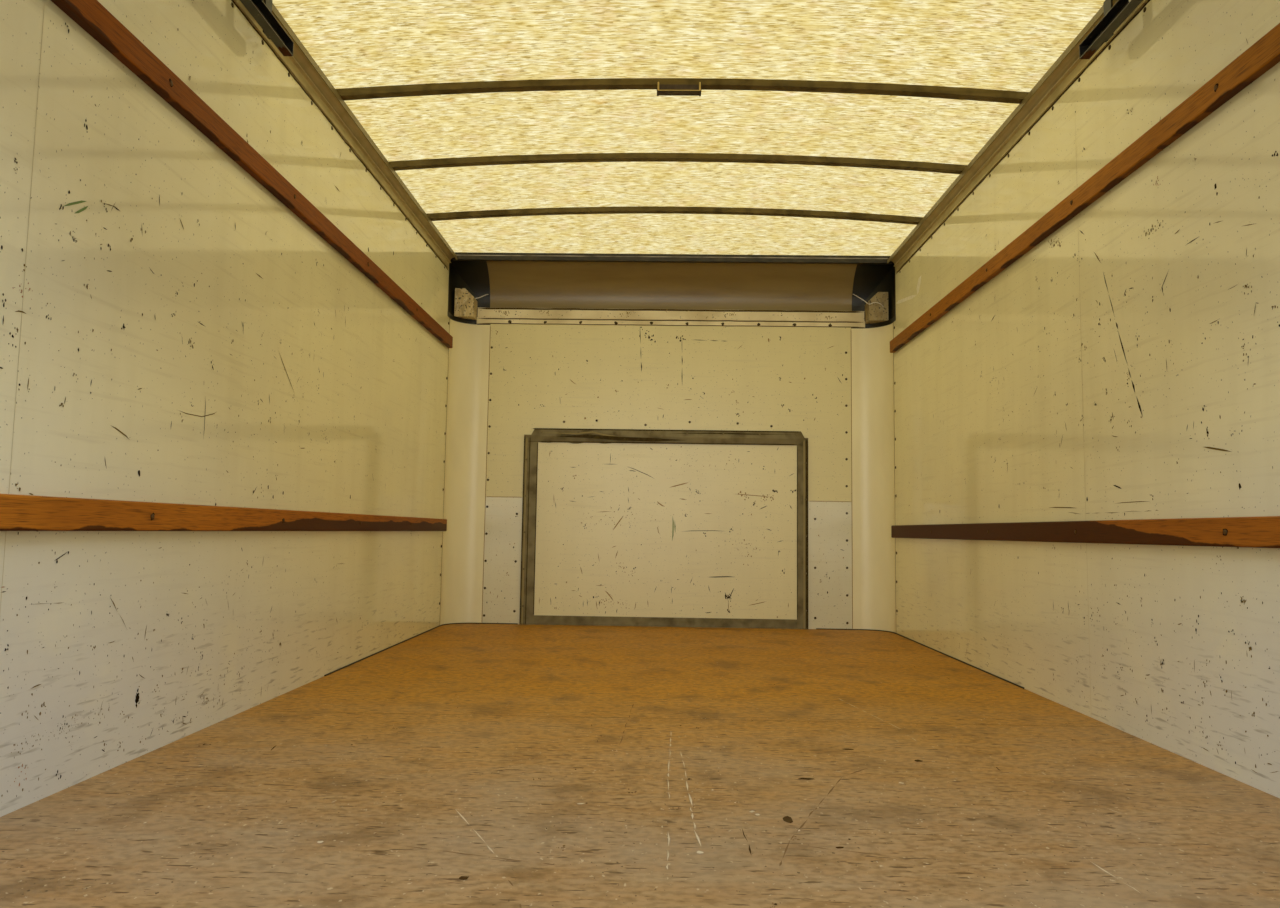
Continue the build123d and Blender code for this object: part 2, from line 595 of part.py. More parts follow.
near, far = SECTION_GAP, DOOR_PITCH - SECTION_GAP
section = along_x([(near, SECTION_INNER), (far, SECTION_INNER), (far, SECTION_LAP + LAP_PLAY),
                   (far + LAP, SECTION_LAP + LAP_PLAY), (far + LAP, SECTION_OUTER),
                   (near + LAP, SECTION_OUTER), (near + LAP, SECTION_LAP), (near, SECTION_LAP)],
                  -SECTION_HALF, SECTION_HALF)
places = [door_foot] + hinge_lines[:-1]
parts["door_sections"] = Compound(children=[place * section for place in places])
seal = [(near, SECTION_INNER), (near, SECTION_LAP), (near + LAP, SECTION_LAP),
        (near + LAP, SECTION_OUTER), (SEAL_CHAMFER - SEAL_OUT, SECTION_OUTER),
        (-SEAL_OUT, SECTION_OUTER - SEAL_CHAMFER), (-SEAL_OUT, SECTION_INNER + SEAL_CHAMFER),
        (SEAL_CHAMFER - SEAL_OUT, SECTION_INNER)]
parts["door_seal"] = door_foot * along_x(seal, -SECTION_HALF, SECTION_HALF)

# Hinges under the sections, and at the tracks the rollers, whose stems are the hinge pins
HINGE_X = (-1060.0, -530.0, 0.0, 530.0, 1060.0)
HINGE_WIDE = 50.0
LEAF, LEAF_WALL = 35.0, 3.0
KNUCKLE = 5.5
KNUCKLE_FACES = 4           # flats round the lower half of a knuckle
ROLLER_R, ROLLER_X, ROLLER_FACES = 17.5, (1123.0, 1139.0), 10
STEM_R, STEM_FACES = 4.0, 6
leaf_foot = SECTION_INNER - LEAF_WALL
root = math.sqrt(KNUCKLE**2 - leaf_foot**2)
knuckle = [(KNUCKLE * math.cos(math.pi * n / KNUCKLE_FACES),
            -KNUCKLE * math.sin(math.pi * n / KNUCKLE_FACES)) for n in range(KNUCKLE_FACES + 1)]


def hinge(x, fold):
    """Two leaves and the knuckle between them, the rear leaf turned down by fold degrees."""
    rear = [Vector(0, *point).rotate(Axis.X, fold) for point in
            ((-root, leaf_foot), (-LEAF, leaf_foot), (-LEAF, SECTION_INNER))]
    outline = [(0, SECTION_INNER), (LEAF, SECTION_INNER), (LEAF, leaf_foot), (root, leaf_foot)]
    outline += knuckle + [(corner.Y, corner.Z) for corner in rear]
    return along_x(outline, x - HINGE_WIDE / 2, x + HINGE_WIDE / 2)


def end_bracket(x):
    """Leaf and knuckle that hold a roller at the door's foot."""
    outline = [(-root, SECTION_INNER), (LEAF, SECTION_INNER), (LEAF, leaf_foot), (root, leaf_foot)]
    return along_x(outline + knuckle + [(-root, leaf_foot)], x - HINGE_WIDE / 2, x + HINGE_WIDE / 2)


def roller():
    """Roller of the right track, on its stem."""
    wheel = extrude(Plane.YZ * RegularPolygon(ROLLER_R, ROLLER_FACES), amount=ROLLER_X[1] - ROLLER_X[0])
    stem_start = HINGE_X[-1] + HINGE_WIDE / 2
    stem = extrude(Plane.YZ * RegularPolygon(STEM_R, STEM_FACES), amount=ROLLER_X[0] - stem_start)
    return Pos(ROLLER_X[0], 0, 0) * wheel + Pos(stem_start, 0, 0) * stem


hinges = []
for n, place in enumerate(hinge_lines[:-1]):
    hinges += [place * hinge(x, 0 if n else TILT) for x in HINGE_X]
for x in (HINGE_X[0], HINGE_X[-1]):
    hinges += [door_foot * end_bracket(x), hinge_lines[-1] * Rot(0, 0, 180) * end_bracket(x)]
parts["door_hinges"] = Compound(children=hinges)
right_rollers = [place * roller() for place in [door_foot] + hinge_lines]
parts["door_rollers"] = Compound(children=right_rollers + [other_side(one) for one in right_rollers])

# Latch on the outer face of the lowest section: a lever on a plate
LATCH_PLATE = (160.0, 70.0, 3.0)
LATCH_UP = 110.0            # from the door's foot to the lever's pivot
LEVER = (190.0, 28.0, 6.0)
LEVER_CHAMFER = 9.0
BOSS_R, BOSS_HIGH, BOSS_FACES = 16.0, 8.0, 6
latch = Pos(0, 0, LATCH_PLATE[2] / 2) * Box(*LATCH_PLATE)
latch += Pos(0, 0, LATCH_PLATE[2]) * extrude(RegularPolygon(BOSS_R, BOSS_FACES), amount=BOSS_HIGH)
lever = extrude(chamfer(Rectangle(*LEVER[:2]).vertices(), LEVER_CHAMFER), amount=LEVER[2])
latch += Pos(LEVER[0] / 4, 0, LATCH_PLATE[2] + BOSS_HIGH) * lever
parts["door_latch"] = door_foot * Pos(0, LATCH_UP, SECTION_OUTER) * latch

# Counterbalance: a shaft between the rear posts with two springs and two cable drums
SHAFT_Y, SHAFT_Z = REAR_FRAME_FRONT + 52.0, DECK + 1915.0
SHAFT_R, SHAFT_HALF = 12.0, 1150.0
SPRING_R, SPRING_X = 28.0, (60.0, 800.0)
DRUM_X = (1075.0, 1105.0)
DRUM_R, DRUM_RIM_R, DRUM_RIM = 38.0, 46.0, 4.0
PLATE_X = (-1135.0, -3.0, 1130.0)
PLATE_WALL = (5.0, 6.0, 5.0)
PLATE_DEPTH, PLATE_DROP, PLATE_RISE = 90.0, 45.0, 40.0


def on_shaft(profile):
    """Ring about the shaft, from its half section: places along X and radii."""
    half = make_face(Polyline(*[(x, radius, 0) for x, radius in profile], close=True))
    return Pos(0, SHAFT_Y, SHAFT_Z) * revolve(half, Axis.X)


def tube(radius, bore, start, end):
    return on_shaft([(start, bore), (end, bore), (end, radius), (start, radius)])


def drum():
    """Cable drum with a rim at each end, and its groove between them."""
    start, end = DRUM_X
    return on_shaft([(start, SHAFT_R), (end, SHAFT_R), (end, DRUM_RIM_R), (end - DRUM_RIM, DRUM_R),
                     (start + DRUM_RIM, DRUM_R), (start, DRUM_RIM_R)])


def shaft_plate(start, wall):
    """Bearing plate on the rear frame, its free corners cut off."""
    front = REAR_FRAME_FRONT + PLATE_DEPTH
    cut = PLATE_DEPTH / 3
    outline = [(REAR_FRAME_FRONT, SHAFT_Z - PLATE_DROP), (front - cut, SHAFT_Z - PLATE_DROP),
               (front, SHAFT_Z - PLATE_DROP + cut), (front, SHAFT_Z + PLATE_RISE - cut),
               (front - cut, SHAFT_Z + PLATE_RISE), (REAR_FRAME_FRONT, SHAFT_Z + PLATE_RISE)]
    return along_x(outline, start, start + wall) - tube(SHAFT_R, 0, start, start + wall)


right_spring = tube(SPRING_R, SHAFT_R, *SPRING_X)
parts["door_shaft"] = tube(SHAFT_R, 0, -SHAFT_HALF, SHAFT_HALF)
parts["door_springs"] = Compound(children=[other_side(right_spring), right_spring])
parts["cable_drums"] = Compound(children=[other_side(drum()), drum()])
parts["shaft_brackets"] = Compound(children=[shaft_plate(x, wall) for x, wall in zip(PLATE_X, PLATE_WALL)])

os.makedirs("parts", exist_ok=True)
for name, shape in parts.items():
    export_step(shape, f"parts/{name}.step")
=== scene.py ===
import functools
import math
import random

import bmesh
import bpy
from bpy.props import FloatProperty, FloatVectorProperty, IntProperty, PointerProperty
from mathutils import Matrix, Vector


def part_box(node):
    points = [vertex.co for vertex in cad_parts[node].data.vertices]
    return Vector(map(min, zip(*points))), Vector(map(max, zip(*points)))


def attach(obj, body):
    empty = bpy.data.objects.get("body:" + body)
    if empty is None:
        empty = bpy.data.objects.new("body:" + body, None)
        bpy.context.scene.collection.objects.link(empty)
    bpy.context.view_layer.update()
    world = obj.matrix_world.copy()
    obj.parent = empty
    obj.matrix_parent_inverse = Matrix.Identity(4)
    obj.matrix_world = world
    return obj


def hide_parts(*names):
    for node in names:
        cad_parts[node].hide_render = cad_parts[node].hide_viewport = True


# The frame is loaded first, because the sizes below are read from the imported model.
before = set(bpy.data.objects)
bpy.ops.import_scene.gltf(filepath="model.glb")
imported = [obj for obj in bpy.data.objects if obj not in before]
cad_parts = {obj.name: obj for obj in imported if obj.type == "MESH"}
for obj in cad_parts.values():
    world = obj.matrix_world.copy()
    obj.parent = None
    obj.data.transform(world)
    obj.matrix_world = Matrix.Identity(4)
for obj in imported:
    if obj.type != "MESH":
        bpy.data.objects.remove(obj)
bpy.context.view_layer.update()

bl_info = {
    "name": "Truck cargo box body",
    "version": (1, 0, 0),
    "blender": (4, 5, 0),
    "location": "3D View > Sidebar > Cargo body",
    "description": "Dresses the packed model of a truck's cargo box body",
    "category": "Object",
}

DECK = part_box("floor_front")[1].z
WALL_IN = -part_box("side_wall_front_left")[1].x
WALL_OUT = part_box("side_wall_front_right")[1].x
FRONT_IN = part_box("front_wall_upper")[0].y
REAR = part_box("rear_sill")[0].y
RUB_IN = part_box("rub_rail_lower_right")[0].x
SIDES = (("left", -1), ("right", 1))

# Heights over the deck: the middles of the rub rails, and the row of rivets under the top rails. One
# rivet of that row stands at TOP_RIVET along each wall.
RUB_HEIGHTS = (0.532, 1.519)
TOP_ROW = 1.8907
TOP_RIVET = {"left": -0.109, "right": -0.284}


# Colours and shader nodes

def linear(hex_colour):
    """Linear RGBA of an sRGB hex colour."""
    parts = [int(hex_colour[n:n + 2], 16) / 255 for n in (1, 3, 5)]
    return tuple(p / 12.92 if p <= 0.04045 else ((p + 0.055) / 1.055) ** 2.4 for p in parts) + (1.0,)


def add(tree, kind, sockets=None, out=0, **settings):
    """Adds a shader node with its settings, fills or links its inputs, and returns one of its outputs."""
    node = tree.nodes.new("ShaderNode" + kind)
    for key, value in settings.items():
        setattr(node, key, value)
    for key, value in (sockets or {}).items():
        if isinstance(value, bpy.types.NodeSocket):
            tree.links.new(value, node.inputs[key])
        else:
            node.inputs[key].default_value = linear(value) if isinstance(value, str) else value
    return node.outputs[out] if node.outputs else None


def material_maker(fill):
    """Turns a function that fills a node tree into one that takes a name and makes that material."""
    @functools.wraps(fill)
    def make(name, *values, **settings):
        material = bpy.data.materials.new(name)
        material.use_nodes = True
        material.node_tree.nodes.clear()
        fill(material.node_tree, *values, **settings)
        return material
    return make


def shade(tree, colour, rough, height=None, relief_mm=0.0, **sockets):
    """Principled surface with its relief in millimetres, linked to the output."""
    sockets = {key.replace("_", " "): value for key, value in sockets.items()}
    if height is not None:
        relief = {"Height": height, "Distance": relief_mm / 1000, "Strength": 1.0}
        sockets["Normal"] = add(tree, "Bump", relief)
    surface = add(tree, "BsdfPrincipled", {"Base Color": colour, "Roughness": rough, **sockets})
    add(tree, "OutputMaterial", {"Surface": surface})


def patches(tree, size, low, high, most=1.0, detail=3.0, shift=0.0):
    """Mask of soft patches. size is their length in mm along x, y and z; the pattern's values from
    low to high become 0 to most. Octaves under 2 mm don't show from the doorway and are left out."""
    detail = min(detail, max(1.0, math.log2(min(size) / 2)))
    place = add(tree, "TexCoord", out="Object")
    scaled = add(tree, "VectorMath", {0: place, 1: [1000 / s for s in size]}, operation="MULTIPLY")
    moved = add(tree, "VectorMath", {0: scaled, 1: (shift, shift, shift)})
    value = add(tree, "TexNoise", {"Vector": moved, "Scale": 1.0, "Detail": detail})
    reach = {"Value": value, "From Min": low, "From Max": high, "To Max": most}
    return add(tree, "MapRange", reach)


def along(tree, axis):
    """Distance along an axis, in metres."""
    return add(tree, "SeparateXYZ", {0: add(tree, "TexCoord", out="Object")}, out=axis)


def rise(tree, axis, start, end, most=1.0):
    """Mask that grows from start to end, in metres, along an axis."""
    reach = {"Value": along(tree, axis), "From Min": start, "From Max": end, "To Max": most}
    return add(tree, "MapRange", reach)


def both(tree, first, second):
    """Mask where both masks are."""
    return add(tree, "Math", {0: first, 1: second}, operation="MULTIPLY")


def coats(tree, ground, *layers):
    """The ground colour with each layer's colour laid over it where the layer's mask is."""
    for mask, paint in layers:
        ground = add(tree, "Mix", {0: mask, 6: ground, 7: paint}, out=2, data_type="RGBA")
    return ground


def facing_in(tree):
    """Mask of the faces that look into the load space."""
    middle = (0.0, 0.0, 1.2)
    away = add(tree, "VectorMath", {0: add(tree, "TexCoord", out="Object"), 1: middle}, operation="SUBTRACT")
    normal = add(tree, "NewGeometry", out="Normal")
    dot = add(tree, "VectorMath", {0: away, 1: normal}, out="Value", operation="DOT_PRODUCT")
    return add(tree, "Math", {0: dot, 1: 0.0}, operation="LESS_THAN")


# Materials

@material_maker
def gelcoat_panel(tree, inner, outer, grime, shift, rough=0.07, dull_most=0.24, kicks_and_rail_shadow=0.0):
    """Gel-coated glass fibre on plywood, sprayed in a polished mould: it mirrors the roof bows and the
    front wall, is faintly wavy, yellowed and smeared by handling inside, and washed clean outside. Inside it
    also has a painted shadow under the upper rub rail, and low towards the door a paler grey that is dust
    and painted cool daylight."""
    inside = facing_in(tree)
    wiped = patches(tree, (800, 700, 380), 0.40, 0.70, 0.35, 4.0, shift)
    streak = patches(tree, (90, 90, 900), 0.48, 0.74, 0.14, 4.0, shift + 7)
    smear = patches(tree, (300, 300, 16), 0.56, 0.76, 0.30, 5.0, shift + 3)
    # Paler neutral grey low on the wall towards the door: partly dust, which also dulls the gloss, and partly
    # painted cool daylight from the doorway.
    dust_and_door_light = both(tree, both(tree, rise(tree, 2, DECK + 0.80, DECK + 0.15, 0.75), rise(tree, 1, 1.4, -0.9)),
                 patches(tree, (300, 300, 200), 0.0, 0.46, 1.0, 5.0, shift))
    kicked = both(tree, rise(tree, 2, DECK + 0.34, DECK + 0.10, kicks_and_rail_shadow),
                  patches(tree, (100, 100, 11), 0.59, 0.70, 1.0, 6.0, shift + 11))
    nick = patches(tree, (6, 6, 8), 0.725, 0.745, 0.7, 1.0, shift + 9)
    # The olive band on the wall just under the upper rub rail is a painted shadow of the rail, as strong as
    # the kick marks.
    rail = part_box("rub_rail_upper_left")[0].z
    under = both(tree, rise(tree, 2, rail - 0.045, rail, kicks_and_rail_shadow), rise(tree, 2, rail + 0.06, rail + 0.03))
    worn = coats(tree, inner, (wiped, grime), (streak, "#D3C998"), (smear, "#D6CDA6"), (dust_and_door_light, "#D4D4D2"),
                 (kicked, "#868069"), (nick, "#564C34"), (under, "#7F7238"))
    film = patches(tree, (900, 1300, 500), 0.45, 0.75, 0.3, 3.0, shift + 5)
    colour = coats(tree, coats(tree, outer, (film, "#DEDCD2")), (inside, worn))
    haze = add(tree, "Math", {0: smear, 1: dust_and_door_light}, operation="MAXIMUM")
    dull = add(tree, "MapRange", {"Value": haze, "From Max": 0.5, "To Min": rough, "To Max": dull_most})
    wave = patches(tree, (330, 330, 330), 0.2, 0.8, 1.0, 1.0, shift)
    shade(tree, colour, dull, wave, 0.3, IOR=1.5)


@material_maker
def plywood_floor(tree, warm, door_lit_tone):
    """Floor plywood laid with its grain across the body, worn through by pallets and boots: open
    grain streaks, torn grain, greyed tracks towards the door and dark spills on bare brown wood. Towards the
    door the wood is also painted cooler and greyer, for the daylight that falls in there."""
    # The grain is drawn a few times coarser than the real one, so that it shows from the doorway.
    streak = patches(tree, (130, 34, 50), 0.36, 0.72, 0.45, 6.0)
    fine = patches(tree, (20, 13, 20), 0.42, 0.68, 0.55, 6.0, 2.0)
    torn = patches(tree, (46, 10, 30), 0.63, 0.68, 0.75, 5.0, 17.0)
    pit = patches(tree, (9, 13, 12), 0.69, 0.72, 0.7, 3.0, 23.0)
    sheet = patches(tree, (900, 260, 300), 0.36, 0.66, 0.26, 3.0, 6.0)
    scuffed = patches(tree, (420, 300, 200), 0.44, 0.66, 0.4, 6.0, 4.0)
    spill = patches(tree, (150, 190, 100), 0.54, 0.70, 0.5, 8.0, 8.0)
    pale = patches(tree, (9, 14, 20), 0.69, 0.72, 0.5, 4.0, 12.0)
    # The wood turns cooler and greyer towards the door: painted cool daylight from the doorway. The same mask
    # keeps the greyed scuff tracks to that end.
    grey = rise(tree, 1, 0.45, -0.95)
    ground = coats(tree, warm, (grey, door_lit_tone), (sheet, "#9A6D2B"))
    colour = coats(tree, ground, (streak, coats(tree, "#CB993A", (grey, "#B79E70"))), (fine, "#75562A"),
                   (both(tree, scuffed, grey), "#A59374"), (spill, "#684A22"), (torn, "#573A18"),
                   (pit, "#4A3317"), (pale, "#D8C193"))
    dull = add(tree, "MapRange", {"Value": scuffed, "To Min": 0.58, "To Max": 0.44})
    shade(tree, colour, dull, streak, 0.3, Specular_IOR_Level=0.35)


@material_maker
def oiled_hardwood(tree, node, light, dark, band, aged):
    """Planed hardwood, oiled and darkened by hands and straps: fine grain along the rail, and old
    black oil along the lower edge, up to a wavy line. band gives where along the body that rises and
    is highest, and its height; aged where the wood starts to darken and is darkest, and how much."""
    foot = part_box(node)[0].z
    grain = patches(tree, (5, 420, 5), 0.35, 0.66, 0.6, 4.0)
    pore = patches(tree, (1.6, 60, 1.6), 0.52, 0.72, 0.6, 3.0, 3.0)
    blotch = patches(tree, (300, 330, 300), 0.42, 0.66, 0.5, 4.0, 7.0)
    wave = patches(tree, (400, 170, 400), 0.46, 0.72, 0.012, 5.0, 2.0)
    top = add(tree, "Math", {0: rise(tree, 1, *band), 1: wave}, operation="ADD")
    above = add(tree, "Math", {0: along(tree, 2), 1: top}, operation="SUBTRACT")
    oil = add(tree, "MapRange", {"Value": above, "From Min": foot + 0.003, "From Max": foot, "To Max": 0.94})
    colour = coats(tree, light, (grain, coats(tree, dark, (0.5, light))),
                   (blotch, coats(tree, dark, (0.35, light))), (rise(tree, 1, *aged), dark), (oil, "#472207"),
                   (pore, "#3A1E0E"))
    shade(tree, colour, 0.55, grain, 0.25, Specular_IOR_Level=0.15)


@material_maker
def roof_fibreglass(tree, inner, outer):
    """Translucent glass-fibre sheet, laid up flat from chopped strand: it glows where light falls on
    its back, with fine cross-wise strands and honey-coloured resin, and is chalky on top."""
    # The strands are drawn coarser than the real ones, so that they show from the doorway.
    cloud = patches(tree, (100, 100, 100), 0.42, 0.68, 0.4, 5.0)
    rosy = patches(tree, (90, 110, 110), 0.54, 0.68, 0.4, 3.0, 13.0)
    strand = patches(tree, (52, 4.5, 4.5), 0.50, 0.58, 0.85, 2.0, 2.0)
    wide = patches(tree, (90, 10, 10), 0.48, 0.64, 0.4, 4.0, 6.0)
    fleck = patches(tree, (34, 6, 6), 0.60, 0.65, 0.7, 2.0, 4.0)
    honey = patches(tree, (110, 60, 60), 0.66, 0.76, 0.3, 5.0, 9.0)
    colour = coats(tree, inner, (cloud, "#F6E8AA"), (rosy, "#F8E9D2"), (wide, "#E8D897"),
                   (strand, "#DAC787"), (fleck, "#AE9654"), (honey, "#E9C67A"))
    behind = add(tree, "NewGeometry", out="Backfacing")
    inside = facing_in(tree)
    open_share = add(tree, "Math", {0: inside, 1: behind}, operation="MAXIMUM")
    share = add(tree, "MapRange", {"Value": open_share, "To Min": 0.5, "To Max": 0.96})
    body = coats(tree, outer, (inside, colour))
    solid = add(tree, "BsdfPrincipled", {"Base Color": body, "Roughness": 0.4})
    through = add(tree, "BsdfTranslucent", {"Color": coats(tree, "#FFFFFF", (inside, colour))})
    mixed = add(tree, "MixShader", {0: share, 1: solid, 2: through})
    add(tree, "OutputMaterial", {"Surface": mixed})


@material_maker
def folded_bar_painted_highlight(tree, ground, edge, line, reach):
    """Angle of painted steel, seen from below: dark, with a painted highlight along its folded edge, a line
    at a height, reach metres to each side of it, broken up in patches."""
    rubbed = patches(tree, (120, 20, 20), 0.25, 0.60, 0.85, 4.0)
    low = rise(tree, 2, line - reach, line - reach / 2)
    high = rise(tree, 2, line + reach, line + reach / 2)
    dust = patches(tree, (60, 30, 30), 0.42, 0.70, 0.6, 4.0, 5.0)
    # edge: a pale line along the fold at the given height, a painted highlight broken up in patches.
    tone = coats(tree, ground, (dust, "#4A4230"), (both(tree, both(tree, low, high), rubbed), edge))
    shade(tree, tone, 0.45, dust, 0.05)


@material_maker
def bare_metal(tree, colour, grime, rough, grain=(12, 300, 12), metallic=1.0):
    """Rolled, drawn or galvanised metal: fine lines along its length, with dull oxide patches."""
    line = patches(tree, grain, 0.35, 0.65, 0.35, 3.0)
    oxide = patches(tree, (70, 90, 70), 0.45, 0.68, 0.7, 5.0, 4.0)
    tone = coats(tree, colour, (line, grime), (oxide, grime))
    dull = add(tree, "MapRange", {"Value": oxide, "To Min": rough, "To Max": min(rough + 0.22, 1.0)})
    shade(tree, tone, dull, line, 0.08, Metallic=metallic)


@material_maker
def sprayed_paint(tree, colour, grime, rough, chips=0.0, shift=0.0):
    """Paint sprayed on steel, laminated board or moulded sheet: a faint orange peel, a film of dirt,
    and chips to grey metal where it is knocked."""
    film = patches(tree, (240, 260, 180), 0.42, 0.72, 0.6, 5.0, shift)
    chip = patches(tree, (14, 18, 12), 0.70, 0.72, chips, 3.0, shift + 5)
    tone = coats(tree, colour, (film, grime), (chip, "#6F6D66"))
    peel = patches(tree, (5, 5, 5), 0.2, 0.8)
    shade(tree, tone, rough, peel, 0.04, IOR=1.5)


@material_maker
def moulded_cap(tree, inner, outer):
    """Moulded roof corner: unpainted black inside, with a slight grain, and white gel coat outside."""
    inside = facing_in(tree)
    dust = patches(tree, (60, 60, 60), 0.5, 0.75, 0.3, 5.0)
    tone = coats(tree, outer, (inside, coats(tree, inner, (dust, "#2B2C27"))))
    grain = patches(tree, (4, 4, 4), 0.2, 0.8)
    shade(tree, tone, 0.38, grain, 0.05, IOR=1.5)


@material_maker
def moulded_lens(tree, colour, deep):
    """Acrylic lamp lens, injection moulded with upright flutes that show as light and dark bars."""
    flute_mm = 6.0
    turns = add(tree, "Math", {0: along(tree, 0), 1: math.tau * 1000 / flute_mm}, operation="MULTIPLY")
    flute = add(tree, "Math", {0: turns}, operation="SINE")
    bar = add(tree, "MapRange", {"Value": flute, "From Min": -1.0})
    shade(tree, coats(tree, colour, (bar, deep)), 0.15, bar, 0.8, IOR=1.49, Coat_Weight=0.6,
          Coat_Roughness=0.05)


@material_maker
def wire_cover(tree, colour, dirt):
    """Extruded soft vinyl: a slight sheen, greyed by dust."""
    dust = patches(tree, (9, 9, 9), 0.5, 0.75, 0.5, 4.0)
    shade(tree, coats(tree, colour, (dust, dirt)), 0.45)


@material_maker
def cast_resin(tree, colour, strand, hole):
    """Glass-fibre resin cast in a rough mould: pale strands, brown dirt and dark pin holes."""
    wisp = patches(tree, (10, 10, 34), 0.44, 0.66, 0.7, 4.0)
    dirt = patches(tree, (36, 40, 44), 0.50, 0.70, 0.6, 5.0, 3.0)
    # The right-hand block is drawn darker than the left one.
    aged = rise(tree, 0, -0.5, 0.5, 0.55)
    pin = patches(tree, (11, 11, 11), 0.62, 0.66, 0.9, 1.0, 7.0)
    tone = coats(tree, colour, (wisp, strand), (dirt, "#947A48"), (aged, "#6E5C36"), (pin, hole))
    shade(tree, tone, 0.45, wisp, 0.3)


@material_maker
def moulded_part(tree, colour, wear, rough):
    """Moulded or extruded plastic or rubber: a fine grain, with dirt in it."""
    grain = patches(tree, (4, 4, 4), 0.2, 0.8)
    dirt = patches(tree, (22, 22, 22), 0.50, 0.74, 0.6, 4.0, 2.0)
    shade(tree, coats(tree, colour, (dirt, wear)), rough, grain, 0.05)


@material_maker
def worn_mark(tree, colour, rough):
    """Rubbed, scratched or spilled mark: a thin film with ragged tone."""
    rub = patches(tree, (18, 18, 18), 0.4, 0.7, 0.2)
    shade(tree, coats(tree, colour, (rub, "#7E7042")), rough, Specular_IOR_Level=0.05)


@material_maker
def corner_paint(tree, inner, outer):
    """Sprayed aluminium corner: plain cream lining inside, white outside."""
    film = patches(tree, (200, 200, 500), 0.42, 0.72, 0.4, 4.0, 2.0)
    tone = coats(tree, outer, (facing_in(tree), coats(tree, inner, (film, "#E4DAB0"))))
    peel = patches(tree, (5, 5, 5), 0.2, 0.8)
    shade(tree, tone, 0.32, peel, 0.04, IOR=1.5)


@material_maker
def extruded_rail(tree, inner, grime, outer):
    """Extruded aluminium: fine lines along its length and dull oxide, yellowed inside, with painted shade on
    the upright face of the lip under the roof, and plain grey outside."""
    line = patches(tree, (9, 1200, 9), 0.35, 0.65, 0.35, 3.0)
    oxide = patches(tree, (70, 90, 70), 0.45, 0.68, 0.4, 5.0, 4.0)
    off = add(tree, "Math", {0: along(tree, 0)}, operation="ABSOLUTE")
    # The lip's upright face, which looks across the body, is darkened: painted shade.
    lip_shade_from, lip_shade_full = 1.157, 1.153
    lip = add(tree, "MapRange", {"Value": off, "From Min": lip_shade_from, "From Max": lip_shade_full, "To Max": 0.75})
    inside = coats(tree, inner, (line, grime), (oxide, grime), (lip, "#6A5C34"))
    tone = coats(tree, outer, (oxide, "#A5A6A5"), (facing_in(tree), inside))
    shade(tree, tone, 0.42, line, 0.08, Metallic=0.3)


@material_maker
def nose_sheet(tree, outer):
    """Rolled sheet, sprayed white outside; its dull brown-grey inside is a painted reflection of the floor.
    """
    cloud = patches(tree, (400, 120, 60), 0.4, 0.7, 0.5, 4.0)
    # The brown-grey inside, with darker clouds, is a painted reflection of the brown floor on the smooth
    # sheet.
    inner = coats(tree, "#93804F", (cloud, "#745F36"))
    tone = coats(tree, outer, (facing_in(tree), inner))
    shade(tree, tone, 0.3, cloud, 0.3, IOR=1.5)


@material_maker
def studio_vinyl(tree, colour):
    """Matt vinyl floor of the studio, plain and pale."""
    shade(tree, colour, 0.85)


# Mesh building

def piece_of(name, data):
    """Piece that rides on the body, made from a mesh or a curve."""
    piece = bpy.data.objects.new(name, data)
    bpy.context.scene.collection.objects.link(piece)
    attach(piece, "root")
    return piece


def place(name, bm, finishes, slot, smooth=False):
    """Turns a built mesh into a piece with its finishes."""
    bmesh.ops.recalc_face_normals(bm, faces=bm.faces)
    mesh = bpy.data.meshes.new(name)
    bm.to_mesh(mesh)
    bm.free()
    for finish in finishes:
        mesh.materials.append(finish)
    if smooth:
        mesh.polygons.foreach_set("use_smooth", [True] * len(mesh.polygons))
    return piece_of(name, mesh)


def pair(stem):
    """Names of a left and a right node."""
    return [f"{stem}_{side}" for side, _ in SIDES]


def dress(material, *nodes):
    """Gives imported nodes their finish."""
    for node in nodes:
        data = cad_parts[node].data
        data.materials.clear()
        data.materials.append(material)


def heads(bm, places, normal, radius, height, sides=8):
    """Domed heads of rivets or bolts, standing on a surface along its normal."""
    turn = Vector(normal).to_track_quat("Z", "Y").to_matrix()
    for foot in places:
        rings = []
        for share, lift in ((1.0, 0.0), (0.94, 0.45), (0.6, 0.88)):
            ring = []
            for n in range(sides):
                angle = math.tau * n / sides
                offset = Vector((math.cos(angle) * radius * share, math.sin(angle) * radius * share,
                                 lift * height))
                ring.append(bm.verts.new(Vector(foot) + turn @ offset))
            rings.append(ring)
        top = bm.verts.new(Vector(foot) + turn @ Vector((0, 0, height)))
        for n in range(sides):
            m = (n + 1) % sides
            for lower, upper in zip(rings, rings[1:]):
                bm.faces.new((lower[n], lower[m], upper[m], upper[n]))
            bm.faces.new((rings[-1][n], rings[-1][m], top))


def run(start, end, pitch):
    """Places at an even pitch from start to end."""
    count = int(abs(end - start) / pitch + 1.001)
    step = pitch if end > start else -pitch
    return [start + n * step for n in range(count)]


def wall_face(axis, level, into):
    """Maps two coordinates and a lift to a point on the flat surface at level on an axis."""
    def point(a, b, lift):
        c = level + into * lift
        return Vector(((c, a, b), (a, c, b), (a, b, c))[axis])
    return point


def mark_lift(bm):
    """Height of the next mark, so that marks that overlap don't share a plane."""
    return 0.0003 + len(bm.faces) % 60 * 0.00001


